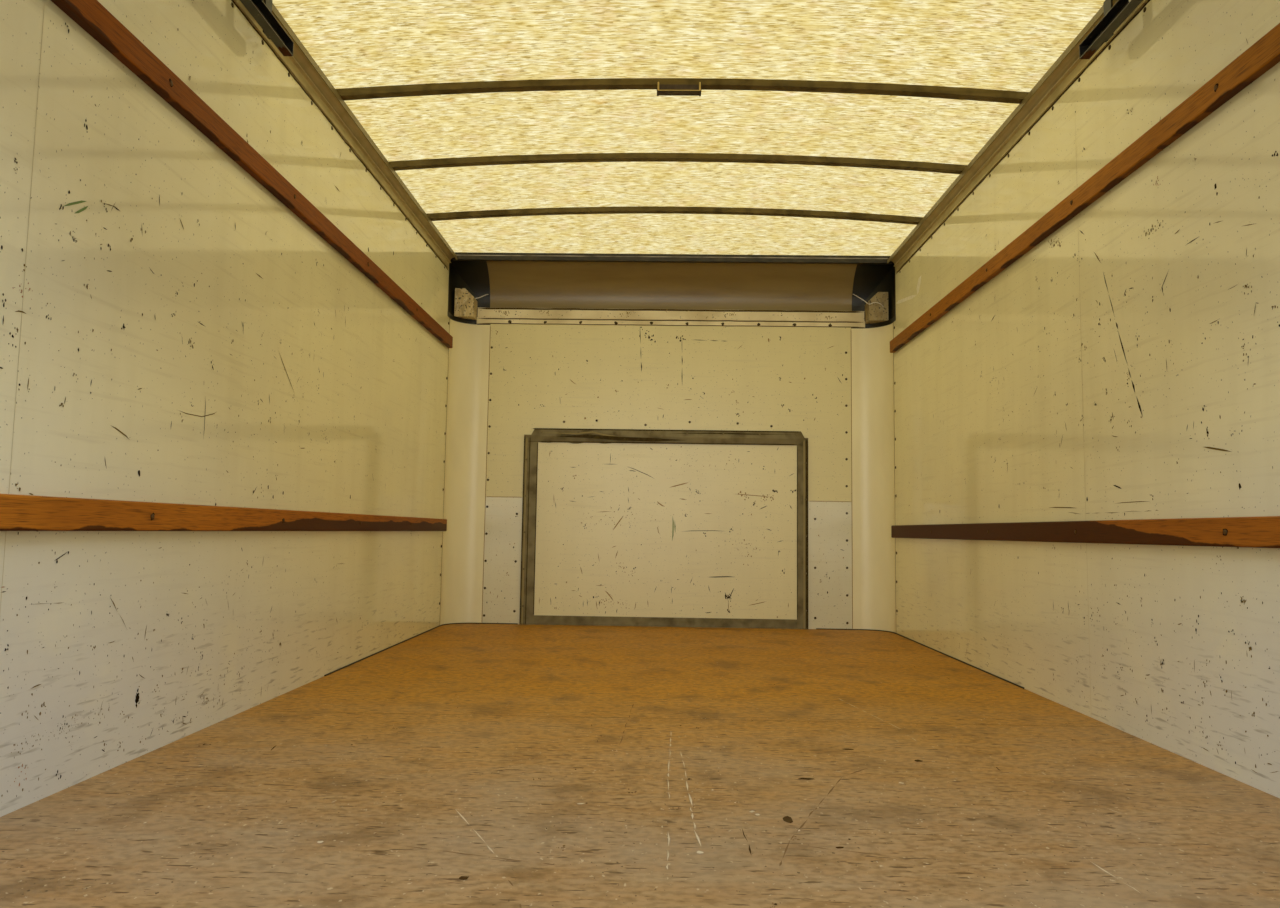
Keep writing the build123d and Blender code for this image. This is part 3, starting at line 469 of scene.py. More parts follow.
def stroke(bm, at, line, width, tone):
    """Thin mark along a line of points, pointed at both ends."""
    rows, lift = [], mark_lift(bm)
    for n, (a, b) in enumerate(line):
        ends = line[max(n - 1, 0)], line[min(n + 1, len(line) - 1)]
        da, db = ends[1][0] - ends[0][0], ends[1][1] - ends[0][1]
        size = math.hypot(da, db) or 1.0
        half = 0.0 if n in (0, len(line) - 1) else width / 2
        sides = ((-db, da), (db, -da)) if half else ((0, 0),)
        rows.append([bm.verts.new(at(a + s * half / size, b + t * half / size, lift)) for s, t in sides])
    for lower, upper in zip(rows, rows[1:]):
        corners = lower + upper[::-1]
        if len(corners) > 2:
            bm.faces.new(corners).material_index = tone


def dash(bm, at, line, width, tone):
    """Stroke from a line's first point to its last, through the middles of its segments."""
    middles = [((a[0] + b[0]) / 2, (a[1] + b[1]) / 2) for a, b in zip(line, line[1:])]
    stroke(bm, at, [line[0], *middles, line[-1]], width, tone)


def spot(bm, at, place, size, tone, rng, turn=0.0):
    """Ragged spot or oval scuff."""
    corners, lift = [], mark_lift(bm)
    for n in range(9):
        angle, out = math.tau * n / 9, rng.uniform(0.6, 1.15)
        u, v = math.cos(angle) * size[0] * out, math.sin(angle) * size[1] * out
        a = place[0] + u * math.cos(turn) - v * math.sin(turn)
        b = place[1] + u * math.sin(turn) + v * math.cos(turn)
        corners.append(bm.verts.new(at(a, b, lift)))
    bm.faces.new(corners).material_index = tone


def scratch(bm, at, line, width, tone, rng):
    """Scratch that skips: short strokes in a wavering row along a line of points."""
    for start, end in zip(line, line[1:]):
        reach = math.dist(start, end)
        done = 0.0
        while done < reach:
            stop = min(done + rng.uniform(0.03, 0.12), reach)
            row = []
            for far in (done, (done + stop) / 2, stop):
                a, b = (s + (e - s) * far / reach for s, e in zip(start, end))
                row.append((a + rng.gauss(0, 0.0008), b + rng.gauss(0, 0.0008)))
            stroke(bm, at, row, width * rng.uniform(0.4, 1.2), tone)
            done = stop + rng.uniform(0.002, 0.015)


def smudge(bm, at, line, spread, count, size, tone, rng):
    """Soft streak: many small ragged spots, thickest along a line of points."""
    for _ in range(count):
        start, end = rng.choice(list(zip(line, line[1:])))
        share = rng.random()
        a, b = (s + (e - s) * share + rng.gauss(0, spread) for s, e in zip(start, end))
        across = size * rng.uniform(0.3, 1.0)
        spot(bm, at, (a, b), (across, across * rng.uniform(0.8, 2.0)), tone, rng)


def knocks(bm, at, rng, count, reach, longest, tones, broad=1.0):
    """Scattered small spots, groups of them and thin dashes in a rectangle, crowded towards its foot."""
    for _ in range(count):
        a = rng.uniform(*reach[0])
        b = reach[1][0] + (reach[1][1] - reach[1][0]) * rng.random() ** 1.3
        tone = rng.choice(tones)
        if rng.random() < 0.6:
            for _ in range(rng.choice((1, 1, 1, 5))):
                size = rng.uniform(0.0006, 0.0019) * broad
                spot(bm, at, (a + rng.gauss(0, 0.005), b + rng.gauss(0, 0.006)),
                     (size, size * rng.uniform(0.6, 2.0)), tone, rng)
            continue
        length = longest * rng.random() ** 3 + 0.005
        angle = rng.choice((0.0, math.pi / 2, math.pi / 2, rng.uniform(0, math.pi))) + rng.gauss(0, 0.25)
        bend = rng.gauss(0, 0.03) * length
        line = []
        for share in (-0.5, -0.15, 0.2, 0.5):
            off = bend * (1 - 4 * share * share)
            line.append((a + math.cos(angle) * share * length - math.sin(angle) * off,
                         b + math.sin(angle) * share * length + math.cos(angle) * off))
        stroke(bm, at, line, rng.uniform(0.0007, 0.0019) * broad, tone)


def curve_piece(name, points, thickness, finish, resolution=3):
    """Round wire or bead along a smooth line that the points control."""
    data = bpy.data.curves.new(name, "CURVE")
    data.dimensions = "3D"
    data.bevel_depth = thickness / 2
    data.bevel_resolution = 2
    data.resolution_u = resolution
    data.use_fill_caps = True
    spline = data.splines.new("NURBS")
    spline.points.add(len(points) - 1)
    for point, spline_point in zip(points, spline.points):
        spline_point.co = (*point, 1.0)
    spline.order_u = 3
    spline.use_endpoint_u = True
    data.materials.append(finish)
    return piece_of(name, data)


# Sizes and colours that a user would change

def colour_property(name, description, hex_colour):
    return FloatVectorProperty(name=name, description=description, subtype="COLOR", size=4, min=0.0, max=1.0,
                               default=linear(hex_colour))


def length_property(name, description, default, low, high):
    return FloatProperty(name=name, description=description, unit="LENGTH", min=low, max=high,
                         default=default)


class CargoBodyColours(bpy.types.PropertyGroup):
    """Ground colours of the finishes."""
    wall: colour_property("Wall gel coat", "Inner face of the side walls", "#FDF8CF")
    front: colour_property("Front sheet", "Inner face of the front wall", "#EDE4B2")
    lining: colour_property("Lower lining", "Lower sheets of the front wall", "#EAE6C9")
    outside: colour_property("Outside gel coat", "Outer face of walls, nose and corners", "#EDEDE8")
    roof: colour_property("Roof sheet", "Roof sheet seen from inside", "#FFFCE6")
    floor_warm: colour_property("Floor, front", "Plywood at the front of the floor", "#CE8F1A")
    # The rear floor colour is laid in towards the door as painted cool daylight.
    floor_rear_door_lit: colour_property("Floor, rear", "Plywood at the rear of the floor", "#AE8754")


class CargoBodySizes(bpy.types.PropertyGroup):
    """Sizes of the small fittings."""
    rivet: length_property("Rivet head", "Diameter of a panel rivet's head", 0.014, 0.004, 0.03)
    bolt: length_property("Bolt head", "Diameter of a rub rail bolt's head", 0.019, 0.006, 0.04)
    front_pitch: length_property("Front rivet pitch", "Pitch of the front wall's rivets", 0.1482, 0.02, 0.5)
    side_pitch: length_property("Side rivet pitch", "Pitch of the rivets under the top rails", 0.1855, 0.02,
                                0.5)
    knocks: IntProperty(name="Knocks", description="Scattered marks on each side wall", default=640, min=0,
                        max=2000)


# Stage, as fitted to points of the photograph: the camera's place in metres, its turns in degrees, and
# its lens in millimetres on a sensor 36 mm wide
CAMERA_PLACE = (-0.0541, -2.581, 0.720)
CAMERA_TURNS = ((1.1792, "Z"), (94.8287, "X"), (0.8306, "Z"))
CAMERA_LENS = 25.626

# Lamps: name, place, aim, size in metres, power in watts, tint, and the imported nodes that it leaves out.
# The two behind the doorway leave out the ground too, and the higher one lights the load space alone.
LAMPS = (
    ("overhead", (0, 0, 7.0), (0, 0, 0), (7.0, 8.0), 138.0, "#FFFFFF", None),
    ("doorway", (-0.3, -6.5, 1.5), (0, 2.4, 1.0), (3.0, 2.2), 80.0, "#FFFEF6", ()),
    ("door_sky", (0.0, -4.5, 3.3), (0, -1.2, 0.2), (2.6, 0.9), 160.0, "#C8DCFF",
     ("rear_header", *pair("rear_post"), "rear_sill", "tail_lamps", "rear_marker_lamps", "roof_sheet")))


# Lamp wires: length and thickness in metres, and the route's control points, repeated from the part's
# source: out of the lamp's hole, down into the corner, and to its block
WIRE_THICK = 0.004
WIRES = {
    "right": (0.244, ((1.018, 2.431, 2.054), (1.018, 2.401, 2.043), (1.040, 2.370, 2.018),
                      (1.062, 2.344, 1.994), (1.082, 2.322, 1.966), (1.104, 2.316, 1.978),
                      (1.130, 2.316, 1.977), (1.152, 2.321, 1.966), (1.162, 2.337, 1.961))),
    "left": (0.114, ((-1.025, 2.437, 2.035), (-1.025, 2.409, 2.028), (-1.038, 2.384, 2.014),
                     (-1.058, 2.368, 1.998), (-1.086, 2.361, 1.990)))}


# Operators

class CARGO_OT_stage(bpy.types.Operator):
    """Makes the pale floor, the soft light and the camera in the doorway"""
    bl_idname = "cargo.stage"
    bl_label = "Stage, light and camera"

    def execute(self, context):
        scene = context.scene
        scene.view_settings.view_transform = "Standard"
        lens = bpy.data.cameras.new("doorway_camera")
        lens.lens, lens.sensor_width = CAMERA_LENS, 36.0
        lens.clip_start, lens.clip_end = 0.05, 100.0
        camera = bpy.data.objects.new("doorway_camera", lens)
        turn = Matrix.Identity(4)
        for degrees, axis in CAMERA_TURNS:
            turn = turn @ Matrix.Rotation(math.radians(degrees), 4, axis)
        camera.matrix_world = Matrix.Translation(CAMERA_PLACE) @ turn
        scene.collection.objects.link(camera)
        scene.camera = camera

        ground, just_under = bmesh.new(), 0.001
        bmesh.ops.create_circle(ground, cap_ends=True, segments=96, radius=40.0)
        mesh = bpy.data.meshes.new("studio_floor")
        ground.to_mesh(mesh)
        ground.free()
        mesh.materials.append(studio_vinyl("studio floor, matt vinyl", "#D6D4D0"))
        floor = bpy.data.objects.new("studio_floor", mesh)
        floor.location.z = -just_under
        scene.collection.objects.link(floor)

        world = bpy.data.worlds.new("studio")
        world.use_nodes = True
        tree = world.node_tree
        tree.nodes.clear()
        # The backdrop that the camera and gloss see is apart from the light that the world gives.
        rays = [add(tree, "LightPath", out=f"Is {kind} Ray") for kind in ("Camera", "Glossy")]
        seen = add(tree, "Math", {0: rays[0], 1: rays[1]}, operation="MAXIMUM")
        lit = add(tree, "Background", {"Color": "#FFFFFF", "Strength": 0.84})
        plain = add(tree, "Background", {"Color": "#F2F1EE", "Strength": 0.9})
        mixed = add(tree, "MixShader", {0: seen, 1: lit, 2: plain})
        add(tree, "OutputWorld", {"Surface": mixed})
        scene.world = world

        for name, where, aim, size, power, tint, left_out in LAMPS:
            data = bpy.data.lights.new(name, "AREA")
            data.shape, data.size, data.size_y, data.energy = "RECTANGLE", *size, power
            data.color = linear(tint)[:3]
            lamp = bpy.data.objects.new(name, data)
            lamp.location = where
            lamp.rotation_euler = (Vector(aim) - Vector(where)).to_track_quat("-Z", "Y").to_euler()
            lamp.visible_camera = False
            scene.collection.objects.link(lamp)
            if left_out is None:
                continue
            unlit = bpy.data.collections.new(f"unlit_by_{name}")
            for member in (floor, *(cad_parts[node] for node in left_out)):
                unlit.objects.link(member)
            for member in unlit.collection_objects:
                member.light_linking.link_state = "EXCLUDE"
            lamp.light_linking.receiver_collection = unlit
        return {"FINISHED"}


class CARGO_OT_lamp_wires(bpy.types.Operator):
    """Hangs the marker lamps' wires in the front corners"""
    bl_idname = "cargo.lamp_wires"
    bl_label = "Lamp wires"

    def execute(self, context):
        cover = wire_cover("white vinyl wire cover, extruded", "#FFFEFA", "#E6E2D6")
        for side, (length, route) in WIRES.items():
            wire = curve_piece(f"lamp_wire_cover_{side}", route, WIRE_THICK, cover, 6)
            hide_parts(f"lamp_wire_{side}")
        return {"FINISHED"}


# Marks of each side wall that stand out, along y and z. Their tones are 0 rubber, 1 earth, 2 green,
# 3 red-brown and 4 white. Strokes: points, width, tone.
WALL_STROKES = {
    "left": (
        (((-0.907, 1.322), (-0.868, 1.345), (-0.836, 1.359)), 0.0045, 2),
        (((-0.872, 1.321), (-0.848, 1.336), (-0.831, 1.351)), 0.005, 2),
        (((-0.454, 0.991), (-0.37, 0.984), (-0.30, 0.995), (-0.257, 1.013)), 0.0022, 1),
        (((-0.862, 0.647), (-0.845, 0.653), (-0.821, 0.665)), 0.0018, 0),
        (((0.095, 1.245), (0.16, 1.19), (0.237, 1.13)), 0.003, 1),
        (((-0.325, 1.046), (-0.318, 0.99), (-0.323, 0.932)), 0.002, 0),
        (((-0.713, 0.924), (-0.67, 0.915), (-0.638, 0.9)), 0.003, 1),
        (((-0.752, 1.38), (-0.724, 1.378)), 0.0035, 0),
        (((-0.493, 1.445), (-0.482, 1.436), (-0.469, 1.422)), 0.003, 1),
        (((-0.218, 1.532), (-0.212, 1.509)), 0.004, 0), (((0.491, 1.909), (0.553, 1.906)), 0.005, 1),
        (((-1.04, 1.08), (-1.04, 1.06)), 0.003, 0), (((-0.084, 1.431), (-0.028, 1.427)), 0.004, 1),
        (((-0.385, 1.221), (-0.34, 1.217)), 0.003, 0), (((-0.645, 1.382), (-0.639, 1.35)), 0.003, 1),
        (((0.654, 1.486), (0.665, 1.44)), 0.004, 1), (((0.362, 1.395), (0.378, 1.38)), 0.004, 0),
        (((-0.791, 1.373), (-0.734, 1.383)), 0.002, 1), (((-0.03, 0.804), (-0.001, 0.833)), 0.003, 0),
        (((-0.39, 0.556), (-0.35, 0.55)), 0.002, 1), (((0.693, 0.397), (0.71, 0.371)), 0.005, 1),
        (((0.67, 0.587), (0.773, 0.585)), 0.002, 1), (((-0.999, 0.606), (-0.986, 0.606)), 0.002, 3),
        (((-0.998, 0.597), (-0.983, 0.598)), 0.002, 0)),
    "right": (
        (((-0.465, 0.932), (-0.51, 0.924), (-0.573, 0.911)), 0.004, 1),
        (((-0.044, 0.865), (-0.07, 0.86), (-0.092, 0.852)), 0.004, 0),
        (((-0.423, 1.42), (-0.485, 1.423)), 0.003, 0), (((0.114, 1.64), (0.081, 1.614)), 0.004, 0),
        (((0.027, 1.547), (-0.015, 1.498)), 0.005, 1), (((-0.356, 1.385), (-0.31, 1.337)), 0.003, 0),
        (((0.796, 1.548), (0.849, 1.529)), 0.005, 0), (((-0.16, 1.385), (-0.186, 1.382)), 0.003, 0),
        (((-0.534, 1.436), (-0.575, 1.429)), 0.002, 1), (((-0.632, 1.396), (-0.686, 1.384)), 0.002, 1),
        (((0.375, 0.814), (0.27, 0.812), (0.17, 0.807)), 0.003, 1),
        (((0.245, 0.797), (0.14, 0.788)), 0.002, 1),
        (((-0.05, 0.814), (-0.14, 0.816), (-0.238, 0.814)), 0.002, 1),
        (((0.355, 0.521), (0.355, 0.486)), 0.003, 0), (((0.25, 0.528), (0.248, 0.493)), 0.003, 0),
        (((-0.042, 0.545), (-0.07, 0.54)), 0.003, 0),
        (((2.207, 1.947), (2.12, 1.937), (2.0, 1.915), (1.816, 1.89)), 0.018, 4),
        (((1.816, 1.89), (1.805, 1.93), (1.742, 1.967)), 0.045, 4))}

# Scratches that skip: points, width, tone
WALL_SCRATCHES = {
    "left": ((((-0.678, 0.57), (-0.644, 0.533), (-0.603, 0.488)), 0.003, 1),
             (((-0.925, 0.57), (-0.822, 0.566)), 0.0015, 1)),
    "right": ((((-0.023, 1.477), (-0.052, 1.40), (-0.097, 1.288), (-0.16, 1.14), (-0.21, 1.031)), 0.0065, 0),
              (((0.123, 0.79), (-0.27, 0.79)), 0.002, 1))}

# Spots: y, z, size
WALL_SPOTS = {
    "left": ((-0.596, 0.832, 0.007), (-0.551, 0.336, 0.010), (-0.025, 0.814, 0.004), (0.072, 0.833, 0.005),
             (0.11, 0.805, 0.005), (0.087, 1.537, 0.004), (-0.688, 1.138, 0.004), (-0.408, 1.306, 0.004),
             (0.882, 1.8, 0.007), (1.211, 1.889, 0.007), (-0.782, 1.279, 0.003), (-0.621, 1.181, 0.003),
             (-0.134, 1.338, 0.003), (-1.006, 1.206, 0.003), (0.426, 1.603, 0.004), (-0.853, 0.646, 0.003),
             (-0.821, 0.662, 0.003), (-0.733, 0.596, 0.0022), (-0.011, 0.603, 0.003), (0.32, 0.449, 0.003),
             (1.057, 0.339, 0.004), (0.789, 0.831, 0.006), (0.18, 0.821, 0.005), (-0.673, 0.569, 0.002),
             (-0.673, 0.546, 0.002)),
    "right": ((-0.593, 0.835, 0.006), (-0.55, 1.516, 0.006), (-0.554, 1.498, 0.004), (-0.329, 0.572, 0.003),
              (0.97, 0.751, 0.005), (0.145, 1.573, 0.004), (0.101, 1.547, 0.003), (0.001, 1.385, 0.004),
              (0.163, 1.391, 0.004), (0.004, 1.341, 0.003), (-0.058, 1.325, 0.003), (-0.352, 1.281, 0.004),
              (-0.524, 1.438, 0.003), (0.407, 1.54, 0.004), (0.371, 1.398, 0.004), (0.108, 0.831, 0.006),
              (0.798, 0.83, 0.006), (1.504, 0.826, 0.006), (0.631, 0.647, 0.004), (-0.195, 0.626, 0.003),
              (0.294, 0.866, 0.003))}

# Smudges: line, spread, count, size of a spot, tone
WALL_SMUDGES = {
    "left": ((((-0.552, 0.354), (-0.548, 0.314)), 0.004, 22, 0.0035, 0),
             (((-0.806, 0.344), (-0.803, 0.319)), 0.006, 10, 0.0022, 0),
             (((-0.94, 0.318), (-0.80, 0.326), (-0.65, 0.331)), 0.008, 90, 0.0015, 1),
             (((-0.93, 0.266), (-0.90, 0.262)), 0.010, 14, 0.0022, 3),
             (((-1.03, 1.139), (-0.972, 1.138)), 0.008, 14, 0.002, 3),
             (((-0.875, 1.282), (-0.866, 1.270), (-0.856, 1.272)), 0.003, 20, 0.0018, 0),
             (((-0.69, 1.14), (-0.68, 1.136)), 0.004, 8, 0.0022, 0)),
    "right": ((((0.314, 1.66), (0.243, 1.646)), 0.010, 30, 0.0035, 1),
              (((-0.245, 1.506), (-0.33, 1.503)), 0.008, 34, 0.0026, 1),
              (((-0.637, 1.262), (-0.655, 1.25)), 0.006, 22, 0.002, 1),
              (((-0.309, 1.63), (-0.325, 1.61)), 0.008, 14, 0.002, 3),
              (((0.15, 1.575), (0.11, 1.55)), 0.008, 10, 0.0025, 0))}


# Marks of the cover that stand out, along x and z: tone, width, lines. Tones: 0 rubber, 1 rust, 2 green.
COVER_MARKS = (
    (0, 0.0028, (
        ((-0.235, 1.075), (-0.155, 1.05), (-0.07, 1.005)), ((-0.365, 1.085), (-0.275, 1.085)),
        ((-0.32, 1.15), (-0.32, 1.085)), ((-0.635, 0.355), (-0.63, 0.31)), ((-0.455, 0.34), (-0.455, 0.3)),
        ((-0.435, 0.35), (-0.43, 0.305)), ((-0.055, 0.425), (-0.07, 0.385)), ((0.025, 0.425), (0.025, 0.38)),
        ((0.03, 0.36), (0.03, 0.325)), ((0.14, 0.475), (0.125, 0.435)), ((-0.62, 0.875), (-0.615, 0.835)),
        ((-0.22, 0.965), (-0.215, 0.925)), ((-0.22, 0.905), (-0.215, 0.87)),
        ((-0.265, 0.85), (-0.275, 0.825)), ((0.07, 0.72), (0.195, 0.73), (0.325, 0.725)),
        ((-0.545, 0.88), (-0.505, 0.875)),
        ((-0.545, 1.065), (-0.505, 1.065)), ((-0.38, 0.935), (-0.35, 0.93)), ((0.585, 1.075), (0.585, 1.04)),
        ((0.66, 1.03), (0.695, 1.05)), ((0.595, 0.67), (0.635, 0.68)), ((-0.62, 0.425), (-0.595, 0.425)),
        ((-0.225, 0.835), (-0.195, 0.85)))),
    (0, 0.0042, (
        ((0.315, 0.395), (0.325, 0.37), (0.335, 0.36)), ((0.365, 0.42), (0.35, 0.385), (0.335, 0.36)),
        ((0.665, 0.875), (0.68, 0.85)), ((-0.105, 1.18), (-0.085, 1.165)), ((-0.01, 1.18), (-0.01, 1.17)))),
    (1, 0.0035, (
        ((0.335, 0.36), (0.335, 0.28)), ((-0.695, 0.355), (-0.695, 0.31)), ((-0.385, 0.34), (-0.38, 0.305)),
        ((-0.37, 0.34), (-0.365, 0.305)), ((-0.105, 0.35), (-0.1, 0.305)), ((-0.63, 0.92), (-0.625, 0.855)),
        ((-0.38, 0.6), (-0.37, 0.545)), ((0.195, 0.82), (0.245, 0.82)), ((0.66, 0.345), (0.66, 0.315)),
        ((0.355, 0.93), (0.455, 0.925), (0.57, 0.915)), ((0.44, 0.325), (0.49, 0.335), (0.545, 0.35)),
        ((-0.39, 0.42), (-0.34, 0.42)), ((-0.525, 0.39), (-0.495, 0.39)), ((-0.395, 0.82), (-0.305, 0.825)),
        ((-0.05, 0.75), (-0.06, 0.73), (-0.04, 0.7)))),
    (1, 0.0055, (
        ((-0.24, 0.805), (-0.275, 0.76), (-0.3, 0.72)), ((-0.27, 0.615), (-0.285, 0.565)),
        ((-0.34, 0.395), (-0.31, 0.37), (-0.29, 0.335)), ((0.005, 0.96), (0.06, 0.975), (0.115, 0.99)),
        ((-0.06, 0.885), (-0.045, 0.865), (-0.015, 0.855)), ((0.06, 0.9), (0.105, 0.895)))),
    (2, 0.0055, (((0.026, 0.807), (0.034, 0.733), (0.025, 0.664)), ((0.038, 0.782), (0.042, 0.708)))))

# Smudges of the cover: line, spread, count, size of a spot, tone
COVER_SMUDGES = (
    (((0.32, 0.372), (0.35, 0.366)), 0.008, 26, 0.004, 0),
    (((0.338, 0.3), (0.34, 0.284)), 0.004, 10, 0.004, 0),
    (((0.38, 0.93), (0.44, 0.922)), 0.010, 18, 0.004, 1),
    (((0.52, 0.915), (0.59, 0.907)), 0.010, 20, 0.004, 1),
    (((0.573, 0.949), (0.6, 0.947)), 0.003, 12, 0.004, 0),
    (((0.67, 0.952), (0.70, 0.952)), 0.003, 10, 0.004, 0),
    (((0.155, 0.95), (0.17, 0.928)), 0.006, 14, 0.003, 0),
    (((-0.27, 0.54), (-0.18, 0.48)), 0.016, 24, 0.003, 1),
    (((-0.40, 0.36), (-0.2, 0.31)), 0.02, 40, 0.003, 1),
    (((0.36, 0.66), (0.5, 0.60)), 0.03, 40, 0.003, 1),
    (((-0.5, 0.78), (-0.1, 0.80)), 0.03, 60, 0.0025, 1),
    (((0.0, 1.10), (0.4, 1.12)), 0.04, 50, 0.0025, 1))

# Scratches of the floor, along x and y: points, width, tone. Tones: 0 stain, 1 fresh, 2 old.
FLOOR_SCRATCHES = (
    (((-0.013, -0.163), (-0.026, -0.62), (-0.026, -0.773)), 0.0035, 1),
    (((-0.029, -0.96), (-0.033, -1.138)), 0.004, 1),
    (((0.006, -0.38), (0.012, -0.549), (0.017, -0.948), (0.025, -1.037)), 0.004, 1),
    (((0.100, -0.93), (0.104, -1.07)), 0.004, 0), (((0.643, -1.059), (0.657, -1.191)), 0.004, 1),
    (((-0.42, -0.86), (-0.30, -1.10)), 0.003, 1), (((0.52, 0.35), (0.60, -0.10)), 0.004, 1),
    (((-0.12, 0.20), (-0.14, -0.35)), 0.003, 2),
    (((0.42, -0.50), (0.345, -0.581), (0.247, -0.818), (0.176, -0.989), (0.141, -1.115)), 0.004, 2),
    (((0.20, -1.02), (0.33, -1.06)), 0.005, 2), (((-0.46, -1.06), (-0.20, -1.13)), 0.004, 2))

# Spots of the floor: x, y, half width, half depth, turn in radians, tone
FLOOR_SPOTS = (
    (0.265, -0.602, 0.018, 0.009, 0, 0), (0.188, -0.881, 0.010, 0.022, 0, 0),
    (0.253, -1.023, 0.009, 0.006, 0, 0), (-0.335, -1.19, 0.009, 0.008, 0, 0),
    (0.55, -0.43, 0.012, 0.012, 0, 0), (0.41, -0.33, 0.016, 0.008, 0, 0),
    (-0.193, -0.811, 0.009, 0.004, 0.4, 1), (0.127, -0.838, 0.007, 0.005, 0.9, 1),
    (0.135, -0.855, 0.005, 0.006, 0.1, 1), (0.46, -0.62, 0.005, 0.006, 0.7, 1),
    (-0.60, -1.05, 0.006, 0.006, 0.5, 1), (0.02, -1.06, 0.006, 0.007, 0.3, 1))


class CARGO_OT_side_walls(bpy.types.Operator):
    """Dresses the side walls, and adds their seams, rivets and knocks"""
    bl_idname = "cargo.side_walls"
    bl_label = "Side walls"

    def execute(self, context):
        colours, sizes = context.scene.cargo_colours, context.scene.cargo_sizes
        sealant = worn_mark("joint filled with sealant", "#CDC39A", 0.5)
        rubbed = worn_mark("rubber scuff, black film", "#241803", 0.8)
        earthy = worn_mark("dirt in a scratch", "#786431", 0.8)
        green = worn_mark("green crayon", "#7F9A5E", 0.6)
        red = worn_mark("red-brown crayon", "#B0805C", 0.6)
        white = worn_mark("white scrape in gel coat", "#F7F4E6", 0.6)
        rivet = bare_metal("aluminium rivet, pressed and dulled", "#57492C", "#2A2110", 0.5)
        for side, sign in SIDES:
            dress(gelcoat_panel(f"gel-coated panel, {side} wall", colours.wall, colours.outside, "#E2DDC2",
                                4.0 + sign, kicks_and_rail_shadow=0.5), f"side_wall_front_{side}", f"side_wall_rear_{side}")
            at = wall_face(0, sign * WALL_IN, -sign)
            rng = random.Random(40 + sign)
            bm = bmesh.new()
            for part, ys, zs, longest, tones in (
                    (1, (-2.3, 2.1), (DECK + 0.03, 2.05), 0.035, (0, 1, 1)),
                    (4, (-1.2, 0.9), (DECK + 0.75, DECK + 1.2), 0.05, (0, 1)),
                    (3, (-1.4, 0.2), (DECK + 0.03, DECK + 0.4), 0.03, (0, 1, 1))):
                knocks(bm, at, rng, sizes.knocks // part, (ys, zs), longest, tones, 1.4)
            for line, width, tone in WALL_STROKES[side]:
                dash(bm, at, line, width, tone)
            for line, width, tone in WALL_SCRATCHES[side]:
                scratch(bm, at, line, width, tone, rng)
            for y, z, size in WALL_SPOTS[side]:
                spot(bm, at, (y, z), (size * 0.8, size * 1.3), 0, rng)
            for line, spread, count, size, tone in WALL_SMUDGES[side]:
                smudge(bm, at, line, spread, count, size, tone, rng)
            place(f"wall_knocks_{side}", bm, (rubbed, earthy, green, red, white), "panel_gelcoat")

            bm = bmesh.new()
            seam, front = (corner.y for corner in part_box(f"side_wall_front_{side}"))
            for y, width, tone in ((seam, 0.0014, 0), (front - 0.004, 0.008, 1)):
                stroke(bm, at, [(y, z) for z in (DECK, DECK + 0.01, 1.86, 2.1)], width, tone)
            place(f"wall_seams_{side}", bm, (sealant, earthy), "panel_gelcoat")

            bm = bmesh.new()
            start = TOP_RIVET[side] - 12 * sizes.side_pitch
            row = [(sign * WALL_IN, y, DECK + TOP_ROW) for y in run(start, 2.2, sizes.side_pitch)
                   if y > REAR + 0.1]
            heads(bm, row, (-sign, 0, 0), sizes.rivet / 2, 0.0025)
            rail_half = 0.05
            free = [z for z in run(DECK + 0.12, 1.85, 0.15)
                    if all(abs(z - DECK - middle) > rail_half for middle in RUB_HEIGHTS)]
            heads(bm, [(sign * WALL_IN, front - 0.03, z) for z in free], (-sign, 0, 0), 0.008, 0.004)
            place(f"wall_rivets_{side}", bm, (rivet,), "zinc_steel", True)
        return {"FINISHED"}


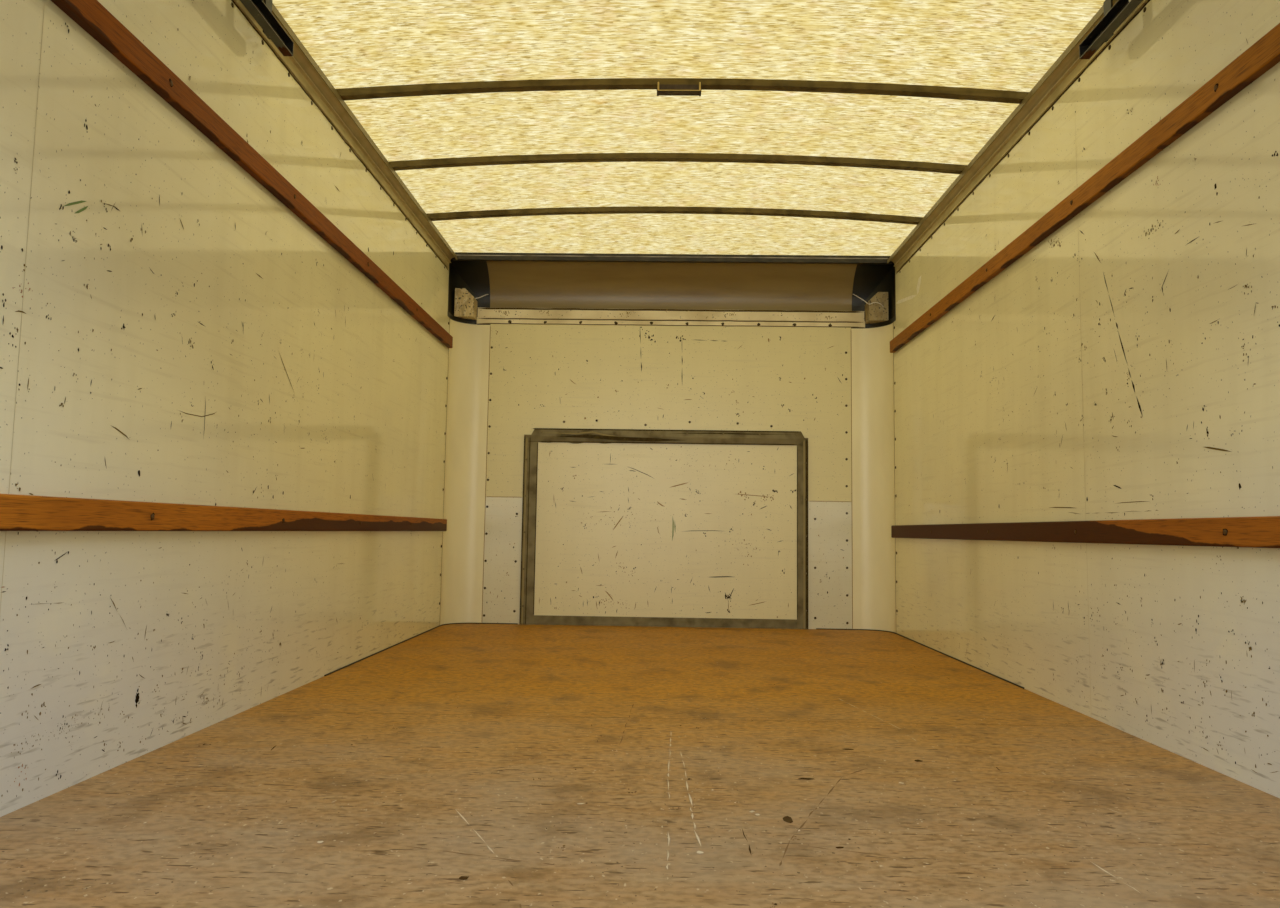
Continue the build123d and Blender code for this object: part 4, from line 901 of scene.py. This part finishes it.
class CARGO_OT_front_wall(bpy.types.Operator):
    """Dresses the front wall and its corners, and adds rivets, seams, stains and scratches"""
    bl_idname = "cargo.front_wall"
    bl_label = "Front wall"

    def execute(self, context):
        colours, sizes = context.scene.cargo_colours, context.scene.cargo_sizes
        for name, inner, grime, shift, rough, dull_most, nodes in (
                ("gel-coated front sheet", colours.front, "#DDD3A6", 21.0, 0.32, 0.5, ["front_wall_upper"]),
                ("gel-coated cover sheet", "#EFE6B6", "#DED4A8", 27.0, 0.30, 0.45, ["cab_opening_cover"]),
                ("polyester lining sheet", colours.lining, "#D2CFB8", 31.0, 0.16, 0.3,
                 pair("front_wall_lower"))):
            dress(gelcoat_panel(name, inner, colours.outside, grime, shift, rough, dull_most), *nodes)
        dress(corner_paint("sprayed corner post", "#FBF3CA", colours.outside), *pair("corner_post"))
        dress(sprayed_paint("sprayed header strip", "#FBF0CA", "#B8A268", 0.45, 0.7, 3.0), "header_strip")

        rivet = bare_metal("steel rivet, painted over and rusted", "#6A5F45", "#2E281C", 0.5)
        bm, places, head_high = bmesh.new(), [], 0.0028
        for x, lowest in ((-0.995, 0.0445), (0.978, 0.036)):
            places += [(x, FRONT_IN, DECK + lowest + n * sizes.front_pitch) for n in range(11)]
        uneven, over_opening = 0.012, DECK + 1.113
        places += [(x, FRONT_IN, over_opening + uneven * math.sin(n * 2.3)) for n, x in
                   enumerate((-0.581, -0.40, -0.129, 0.115, 0.38, 0.566))]
        for x, heights in ((-0.83, (0.07, 0.34, 0.60)), (0.805, (0.06, 0.33, 0.595))):
            places += [(x, FRONT_IN, DECK + h) for h in heights]
        heads(bm, places, (0, -1, 0), sizes.rivet / 2, head_high)
        flange_out, band_out, strip_row, strip_pitch = 0.003, 0.005, DECK + 1.672, 0.1985
        strip = [(-0.897 + n * strip_pitch, FRONT_IN - flange_out, strip_row) for n in range(10)]
        heads(bm, strip, (0, -1, 0), sizes.rivet / 2, head_high)
        place("front_rivets", bm, (rivet,), "zinc_steel", True)

        low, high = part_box("header_strip")
        rng = random.Random(5)
        flange, band = (wall_face(1, FRONT_IN - out, -1) for out in (flange_out, band_out))
        bm = bmesh.new()
        for x, _, z in strip:
            spot(bm, flange, (x, z), (0.0105, 0.0100), 0, rng)
        # The dark line along the strip's top edge is painted shadow in the gap under the nose; the groove,
        # foot and end lines are drawn dark too.
        for z, at, width in ((high.z - 0.005, band, 0.009), (DECK + 1.6895, flange, 0.006),
                             (low.z + 0.002, flange, 0.004)):
            stroke(bm, at, [(x, z + rng.gauss(0, 0.0004)) for x in run(-1.082, 1.082, 0.0541)], width, 0)
        for x in (-1.081, 1.081):
            stroke(bm, band, [(x, z) for z in (DECK + 1.694, DECK + 1.70, high.z - 0.004, high.z)], 0.004, 0)
        knocks(bm, band, rng, 40, ((-1.06, 1.06), (DECK + 1.70, DECK + 1.745)), 0.03, (0, 1), 1.6)
        for x, z in ((-0.93, 1.93), (-0.70, 1.93), (-0.24, 1.925), (0.33, 1.93), (0.88, 1.92)):
            smudge(bm, band, ((x - 0.03, z), (x + 0.03, z)), 0.008, 16, 0.004, 1, rng)
        place("header_stains_and_painted_shadow", bm, (worn_mark("rust and dirt in a seam", "#4E3C1E", 0.6),
                                    worn_mark("brown dirt film", "#A88F58", 0.6)), "trim_strip")

        rubbed = worn_mark("rubber scuff, front wall", "#37301F", 0.6)
        rust = worn_mark("rust water stain", "#A3834B", 0.6)
        green = worn_mark("green crayon, front wall", "#6F8A4E", 0.6)
        bm = bmesh.new()
        at = wall_face(1, FRONT_IN, -1)
        rng = random.Random(7)
        for count, xs, foot, head, longest, tones in (
                (110, (-0.98, 0.98), 1.13, 1.62, 0.05, (0, 1)),
                (20, (-0.98, -0.82), 0.1, 0.66, 0.04, (0, 1)),
                (20, (0.82, 0.98), 0.1, 0.66, 0.04, (0, 1)),
                (110, (-0.70, 0.68), 0.06, 0.98, 0.05, (0, 0, 1))):
            knocks(bm, at, rng, count, (xs, (DECK + foot, DECK + head)), longest, tones, 2.0)
        for line, width in ((((0.067, 1.812), (0.071, 1.503)), 0.005),
                            (((-0.168, 1.86), (-0.155, 1.60)), 0.006),
                            (((0.118, 1.785), (0.324, 1.781)), 0.005)):
            scratch(bm, at, line, width, 0, rng)
        smudge(bm, at, ((-0.15, 1.84), (-0.09, 1.775)), 0.012, 22, 0.005, 0, rng)
        smudge(bm, at, ((0.03, 1.81), (0.08, 1.785)), 0.008, 14, 0.005, 0, rng)
        stroke(bm, at, [(0.218, 0.475), (0.26, 0.476), (0.33, 0.479), (0.375, 0.478)], 0.005, 0)
        for tone, width, lines in COVER_MARKS:
            for line in lines:
                dash(bm, at, line, width, tone)
        for line, spread, count, size, tone in COVER_SMUDGES:
            smudge(bm, at, line, spread, count, size, tone, rng)
        place("front_knocks", bm, (rubbed, rust, green), "panel_gelcoat")

        bm = bmesh.new()
        for x in (-1.006, 1.006):
            stroke(bm, at, [(x, DECK + h) for h in (0, 0.01, 1.64, 1.66)], 0.0035, 0)
        for left, right in ((-1.006, -0.80), (0.77, 1.006)):
            stroke(bm, at, [(x, DECK + 0.692) for x in (left, left + 0.01, right - 0.01, right)], 0.003, 0)
        place("front_seams", bm, (rust,), "panel_gelcoat")

        sealant = sprayed_paint("polyurethane sealant, black", "#241F18", "#3A3227", 0.6)
        # A bead of sealant along the wall's foot, round the corner post and along the front wall
        radius = 0.148
        route = [(1.198, y) for y in (0.6, 1.4, 2.2)]
        for n in range(7):
            angle = math.radians(15 * n)
            route.append((1.05 + radius * math.cos(angle), 2.279 + radius * math.sin(angle)))
        route += [(x, 2.428) for x in (1.0, 0.9, 0.81)]
        for side, sign in SIDES:
            bead = [(sign * x, y, DECK + 0.002) for x, y in route]
            curve_piece(f"floor_sealant_{side}", bead, 0.006, sealant)
        return {"FINISHED"}


class CARGO_OT_opening_frame(bpy.types.Operator):
    """Makes the folded metal strips round the closed cab opening"""
    bl_idname = "cargo.opening_frame"
    bl_label = "Opening frame"

    def execute(self, context):
        metal = bare_metal("galvanised steel strip, folded and greyed", "#82764E", "#5A5032", 0.5,
                           (90, 90, 90), 0.5)
        dress(metal, *pair("frame_strip"), "frame_strip_foot")
        low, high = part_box("frame_strip_top")
        rng = random.Random(3)
        bm = bmesh.new()
        profile = ((high.y, high.z), (low.y + 0.003, high.z), (low.y, high.z - 0.003), (low.y, low.z + 0.036),
                   (low.y + 0.006, low.z + 0.003), (low.y + 0.008, low.z), (high.y, low.z))
        # The dents' start and reach are shares of the strip's length; its two ends are cut down.
        count, rows, dent_start, dent_reach, cut = 80, [], 0.03, 0.32, 0.037
        for n in range(count + 1):
            share = n / count
            x = low.x + (high.x - low.x) * share
            dent = math.sin(math.pi * min(max((share - dent_start) / dent_reach, 0.0), 1.0))
            sag = 0.006 * dent * math.sin(share * 60) + rng.gauss(0, 0.0003)
            lid = high.z - (cut if x < low.x + 0.042 or x > high.x - 0.027 else 0.0)
            row = []
            for k, (y, z) in enumerate(profile):
                push = 0.005 * dent * (1 if k in (3, 4) else 0.3)
                drop = sag if 0 < k < 6 else 0.0
                row.append(bm.verts.new((x, min(y + push, high.y), min(z + min(drop, 0.0), lid))))
            rows.append(row)
        for left, right in zip(rows, rows[1:]):
            for k in range(len(profile) - 1):
                bm.faces.new((left[k], right[k], right[k + 1], left[k + 1]))
            bm.faces.new((left[-1], right[-1], right[0], left[0]))
        for row in (rows[0], rows[-1]):
            bm.faces.new(row)
        strip = place("frame_strip_dented", bm, (metal,), "strip_steel")
        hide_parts("frame_strip_top")

        bm = bmesh.new()
        face = low.y
        places = [(x, face, high.z - 0.02) for x in run(-0.7, 0.7, 0.2)]
        places += [(x, face, z) for x in (-0.782, 0.752) for z in run(DECK + 0.1, DECK + 0.95, 0.2)]
        heads(bm, places, (0, -1, 0), 0.006, 0.002)
        place("frame_rivets", bm, (metal,), "zinc_steel", True)

        bm = bmesh.new()
        fold, inner = (wall_face(1, y, -1) for y in (face, FRONT_IN - 0.004))
        # Painted shade and painted highlights: dark and pale lines along the flat strips stand in for the
        # light and shade of their folds and edges.
        for x, width, tone in ((-0.796, 0.006, 0), (-0.766, 0.005, 0), (-0.784, 0.010, 1), (0.759, 0.013, 0),
                               (0.744, 0.010, 1)):
            stroke(bm, fold, [(x, z) for z in (DECK, DECK + 0.01, 1.22, 1.236)], width, tone)
        for x in (-0.7245, 0.7085):
            stroke(bm, inner, [(x, z) for z in (DECK + 0.05, DECK + 0.06, 1.19, 1.2)], 0.004, 0)
        for line, width, tone in (
                (((-0.756, 1.275), (-0.74, 1.275), (0.70, 1.275), (0.725, 1.275)), 0.007, 0),
                (((-0.72, 1.2045), (-0.70, 1.2045), (0.68, 1.2045), (0.706, 1.2045)), 0.005, 0),
                (((-0.713, 1.254), (-0.516, 1.251), (-0.421, 1.261), (-0.353, 1.2445), (-0.266, 1.238)),
                 0.009, 1),
                (((-0.62, 1.234), (-0.45, 1.238), (-0.27, 1.226), (-0.1, 1.222), (0.1, 1.222)), 0.020, 0),
                (((0.0, 1.258), (0.2, 1.262), (0.45, 1.26), (0.7, 1.262)), 0.006, 0)):
            stroke(bm, fold, line, width, tone)
        place("frame_strip_painted_folds", bm, (worn_mark("dirt in a fold", "#40351C", 0.7),
                                        worn_mark("zinc rubbed bright", "#978A5E", 0.5)), "strip_steel")
        return {"FINISHED"}


class CARGO_OT_floor(bpy.types.Operator):
    """Dresses the load floor, and adds its joint, scratches and spots"""
    bl_idname = "cargo.floor"
    bl_label = "Load floor"

    def execute(self, context):
        colours = context.scene.cargo_colours
        dress(plywood_floor("floor plywood, rotary cut and worn", colours.floor_warm, colours.floor_rear_door_lit),
              "floor_front", "floor_rear")
        dark = worn_mark("floor stain", "#4E3517", 0.7)
        pale = worn_mark("fresh scratch in plywood", "#D9C7A0", 0.7)
        soft = worn_mark("old boot smear on plywood", "#8C6C45", 0.7)
        bm = bmesh.new()
        at = wall_face(2, DECK, 1)
        rng = random.Random(11)
        knocks(bm, at, rng, 200, ((-1.15, 1.15), (-2.3, 2.3)), 0.06, (0, 2, 2), 1.6)
        knocks(bm, at, rng, 110, ((-1.15, 1.15), (-2.3, 0.2)), 0.05, (1, 2), 1.1)
        for line, width, tone in FLOOR_SCRATCHES:
            scratch(bm, at, line, width, tone, rng)
        for x, y, wide, deep, turn, tone in FLOOR_SPOTS:
            spot(bm, at, (x, y), (wide, deep), tone, rng, turn)
        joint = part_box("floor_rear")[1].y
        stroke(bm, at, [(x, joint) for x in (-1.19, -1.18, 1.18, 1.19)], 0.002, 0)
        place("floor_marks", bm, (dark, pale, soft), "floor_plywood")
        return {"FINISHED"}


class CARGO_OT_rub_rails(bpy.types.Operator):
    """Dresses the hardwood rub rails and adds their bolts"""
    bl_idname = "cargo.rub_rails"
    bl_label = "Rub rails"

    def execute(self, context):
        sizes = context.scene.cargo_sizes
        for node, light, dark, band, aged in (
                ("rub_rail_lower_left", "#C47B22", "#854611", (-0.16, 0.30, 0.036), (-0.3, 1.6, 0.3)),
                ("rub_rail_lower_right", "#AE6A1E", "#7A4514", (-0.52, 0.34, 0.092), (-0.1, 0.5, 0.5)),
                ("rub_rail_upper_left", "#A25A12", "#683608", (-2.0, 2.0, -0.003), (-1.0, 2.0, 0.45)),
                ("rub_rail_upper_right", "#B87820", "#84500F", (-2.0, 2.0, -0.003), (0.2, 2.4, 0.3))):
            where = node.removeprefix("rub_rail_").replace("_", " ")
            dress(oiled_hardwood(f"oiled hardwood, {where}", node, light, dark, band, aged), node)
        bolt = bare_metal("steel bolt, blackened", "#6B4C22", "#3A2610", 0.5, metallic=0.5)
        rim = worn_mark("oil and rust round a bolt", "#331B08", 0.7)
        bm, rng, bolt_pitch = bmesh.new(), random.Random(17), 0.711
        for _, sign in SIDES:
            face = wall_face(0, sign * RUB_IN, -sign)
            for height, first in zip(RUB_HEIGHTS, (-1.993, -2.023)):
                places = [(sign * RUB_IN, y, DECK + height) for y in run(first, 2.2, bolt_pitch)]
                heads(bm, places, (-sign, 0, 0), sizes.bolt * 0.32, 0.003, 10)
                for _, y, z in places:
                    spot(bm, face, (y, z), (sizes.bolt / 2, sizes.bolt / 2), 1, rng)
        place("rub_rail_bolts", bm, (bolt, rim), "zinc_steel")
        return {"FINISHED"}


class CARGO_OT_roof(bpy.types.Operator):
    """Dresses the roof sheet, its bows and front bar, the nose and the top rails"""
    bl_idname = "cargo.roof"
    bl_label = "Roof"

    def execute(self, context):
        colours = context.scene.cargo_colours
        dress(roof_fibreglass("translucent glass-fibre roof sheet", colours.roof, "#E9E7DC"), "roof_sheet")
        dress(bare_metal("galvanised steel bow, roll formed", "#6E5E30", "#443818", 0.5, (300, 10, 10), 0.5),
              "roof_bows")
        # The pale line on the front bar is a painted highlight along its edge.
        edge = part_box("roof_front_bar")[1].z - 0.015
        dress(folded_bar_painted_highlight("painted steel angle, edge rubbed bright", "#1E1A12", "#B3ACA6", edge, 0.003),
              "roof_front_bar")
        dress(bare_metal("lamp bracket, painted steel", "#4A3B2C", "#2A2017", 0.45, metallic=0.3),
              "lamp_bracket")
        dress(extruded_rail("extruded aluminium, mill finish", "#D2C493", "#A29460", "#C6C7C7"),
              *pair("top_rail"), *pair("top_cove"), *pair("bottom_rail"))
        dress(moulded_cap("moulded roof corner", "#1C1C14", colours.outside), *pair("corner_cap"))
        dress(moulded_part("moulded cap lip, black", "#11120F", "#34342C", 0.35), "cap_lips")
        dress(cast_resin("cast corner block", "#D9C48C", "#F0E4BC", "#231A0E"), "corner_blocks")
        dress(nose_sheet("nose sheet, sprayed outside", colours.outside), "nose_sheet")

        painted_foot_shadow = worn_mark("dirt along a rail", "#3E2E10", 0.7)
        bright = worn_mark("aluminium edge, rubbed bright", "#E9DDB2", 0.5)
        rusty = worn_mark("rusted track end", "#4C2917", 0.8)
        worn = worn_mark("track edge worn to steel", "#8F8C80", 0.5)
        bm, rng = bmesh.new(), random.Random(23)
        rail_foot, bead_height, bead_in = DECK + 1.902, DECK + 1.9405, 1.184
        # On the wall at each rail's foot a dark line is painted shadow, and along the bead a pale line is a
        # painted highlight.
        for _, sign in SIDES:
            wall, bead = (wall_face(0, sign * x, -sign) for x in (WALL_IN, bead_in))
            foot = [(y, rail_foot + rng.gauss(0, 0.0009)) for y in run(-2.4, 2.22, 0.042)]
            stroke(bm, wall, foot, 0.006, 0)
            stroke(bm, bead, [(y, bead_height) for y in run(-2.4, 2.22, 0.22)], 0.004, 1)
        place("top_rail_painted_lines", bm, (painted_foot_shadow, bright), "rail_aluminium")

        bm, under = bmesh.new(), DECK + 1.8595
        for side, sign in SIDES:
            low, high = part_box(f"door_track_{side}")
            inner = min(abs(low.x), abs(high.x))
            edge, below = wall_face(0, sign * inner, -sign), wall_face(2, under, -1)
            # Pale lines along the two flange edges of each track are painted highlights; the dark ends are
            # rust.
            for z in (under + 0.00125, under + 0.03975):
                stroke(bm, edge, [(y, z) for y in (-1.9, -1.88, -0.10, high.y)], 0.0024, 1)
            for x, wide in ((inner + 0.008, 0.013), (inner + 0.019, 0.012)):
                rusted = [(sign * x, high.y - back) for back in (0.055, 0.04, 0.004, 0)]
                stroke(bm, below, rusted, wide, 0)
        place("track_rust_and_highlights", bm, (rusty, worn), "track_steel")

        low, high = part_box("lamp_bracket")
        rear = wall_face(1, low.y, -1)
        bm = bmesh.new()
        for x in (low.x + 0.005, high.x - 0.005):
            stroke(bm, rear, [(x, z) for z in (low.z, low.z + 0.002, high.z - 0.002, high.z)], 0.006, 0)
        stroke(bm, rear, [(x, low.z + 0.002) for x in (low.x, low.x + 0.01, high.x - 0.01, high.x)], 0.003, 0)
        place("bracket_edges", bm, (worn_mark("paint rubbed off an edge", "#C9B06C", 0.5),), "bow_steel")
        return {"FINISHED"}


class CARGO_OT_rear_door(bpy.types.Operator):
    """Dresses the stowed roll-up door, its tracks and its counterbalance"""
    bl_idname = "cargo.rear_door"
    bl_label = "Roll-up door"

    def execute(self, context):
        dress(sprayed_paint("laminated door section, sprayed", "#DEDCD3", "#B9B5A6", 0.35, 0.2),
              "door_sections")
        zinc = bare_metal("zinc plated steel, pressed", "#A6A59C", "#7D7A6C", 0.38)
        dress(zinc, "door_hinges", "door_shaft", "cable_drums", "shaft_brackets", "door_latch")
        dress(moulded_part("moulded nylon roller", "#E2DECF", "#7D7766", 0.4), "door_rollers")
        dress(moulded_part("extruded rubber seal", "#1B1B1A", "#3F3C35", 0.7), "door_seal")
        dress(sprayed_paint("rolled track, sprayed black", "#1A1A18", "#35332C", 0.4, 0.6),
              *pair("door_track"))
        wire = bare_metal("oil tempered spring wire", "#55514A", "#2A2723", 0.35)
        low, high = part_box("door_springs")
        middle = (low + high) / 2
        radius = (high.z - low.z) / 2
        pitch, gauge, turn_steps, sides = 0.0075, 0.0062, 14, 5
        for name, start, end in (("left", low.x, -0.06), ("right", 0.06, high.x)):
            bm, rings, steps = bmesh.new(), [], int((end - start) / pitch) * turn_steps
            for n in range(steps + 1):
                angle = math.tau * n / turn_steps
                x = start + gauge / 2 + (end - start - gauge) * n / steps
                out = Vector((0, math.cos(angle), math.sin(angle)))
                centre = Vector((x, middle.y, middle.z)) + out * (radius - gauge / 2)
                ring = []
                for k in range(sides):
                    side = math.tau * k / sides
                    offset = out * math.cos(side) + Vector((1, 0, 0)) * math.sin(side)
                    ring.append(bm.verts.new(centre + offset * gauge / 2))
                rings.append(ring)
            for before, after in zip(rings, rings[1:]):
                for k in range(sides):
                    bm.faces.new((before[k], before[(k + 1) % sides], after[(k + 1) % sides], after[k]))
            coil = place(f"spring_coil_{name}", bm, (wire,), "spring_steel", True)
            if name == "left":
                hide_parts("door_springs")
        return {"FINISHED"}


class CARGO_OT_outside(bpy.types.Operator):
    """Dresses the rear frame, lamps and underframe, and adds the outer rivets"""
    bl_idname = "cargo.outside"
    bl_label = "Outside and underframe"

    def execute(self, context):
        dress(sprayed_paint("rear frame, powder coated", "#DADAD5", "#C4C2B8", 0.35, 0.35, 6.0),
              *pair("rear_post"), "rear_header")
        dress(bare_metal("galvanised rear sill", "#9C9C95", "#6E6D66", 0.5, (300, 12, 12)), "rear_sill")
        dress(sprayed_paint("underframe, sprayed black", "#1B1B1B", "#3A3833", 0.5, 0.4, 9.0),
              *pair("long_sill"), "cross_members", "front_sill")
        dress(moulded_lens("red acrylic lens", "#B3120E", "#6C0806"), "tail_lamps", "rear_marker_lamps")
        dress(moulded_lens("amber acrylic lens", "#F5A01C", "#C8700E"), "front_marker_lamps")
        rivet = bare_metal("aluminium rivet, bright", "#A9A8A2", "#7E7C74", 0.35)
        seam = worn_mark("sealed joint of the outer skin", "#A6A59E", 0.6)
        foot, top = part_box("bottom_rail_right")[1].z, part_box("top_rail_right")[0].z
        edge, row_pitch, column_pitch = 0.015, 0.1016, 0.16
        bm = bmesh.new()
        for side, sign in SIDES:
            low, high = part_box(f"side_wall_front_{side}")
            spots = [(y, z) for y in run(-2.33, 2.18, row_pitch) for z in (foot + edge, top - edge)]
            spots += [(y, z) for y in (REAR + 0.11, low.y - 0.02, low.y + 0.02, high.y - 0.03)
                      for z in run(0.39, 1.99, column_pitch)]
            heads(bm, [(sign * WALL_OUT, y, z) for y, z in spots], (sign, 0, 0), 0.006, 0.0025, 6)
            outer = wall_face(0, sign * WALL_OUT, sign)
            stroke(bm, outer, [(low.y, z) for z in (foot, foot + 0.01, top - 0.01, top)], 0.004, 1)
        place("outer_rivets", bm, (rivet, seam), "rail_aluminium", True)
        return {"FINISHED"}


OPERATORS = (CARGO_OT_stage, CARGO_OT_lamp_wires, CARGO_OT_side_walls, CARGO_OT_front_wall,
             CARGO_OT_opening_frame, CARGO_OT_floor, CARGO_OT_rub_rails, CARGO_OT_roof, CARGO_OT_rear_door,
             CARGO_OT_outside)


class CARGO_PT_body(bpy.types.Panel):
    """Lists the colours, sizes and pieces of the cargo body"""
    bl_idname = "CARGO_PT_body"
    bl_label = "Cargo body"
    bl_space_type = "VIEW_3D"
    bl_region_type = "UI"
    bl_category = "Cargo body"

    def draw(self, context):
        column = self.layout.column()
        for group in (context.scene.cargo_colours, context.scene.cargo_sizes):
            for name in group.__annotations__:
                column.prop(group, name)
        for operator in OPERATORS:
            column.operator(operator.bl_idname)


CLASSES = (CargoBodyColours, CargoBodySizes, *OPERATORS, CARGO_PT_body)


def register():
    for cls in CLASSES:
        bpy.utils.register_class(cls)
    bpy.types.Scene.cargo_colours = PointerProperty(type=CargoBodyColours)
    bpy.types.Scene.cargo_sizes = PointerProperty(type=CargoBodySizes)


def unregister():
    del bpy.types.Scene.cargo_sizes
    del bpy.types.Scene.cargo_colours
    for cls in reversed(CLASSES):
        bpy.utils.unregister_class(cls)


def main():
    register()
    bpy.ops.cargo.stage()
    bpy.ops.cargo.lamp_wires()
    bpy.ops.cargo.side_walls()
    bpy.ops.cargo.front_wall()
    bpy.ops.cargo.opening_frame()
    bpy.ops.cargo.floor()
    bpy.ops.cargo.rub_rails()
    bpy.ops.cargo.roof()
    bpy.ops.cargo.rear_door()
    bpy.ops.cargo.outside()


if __name__ == "__main__":
    main()
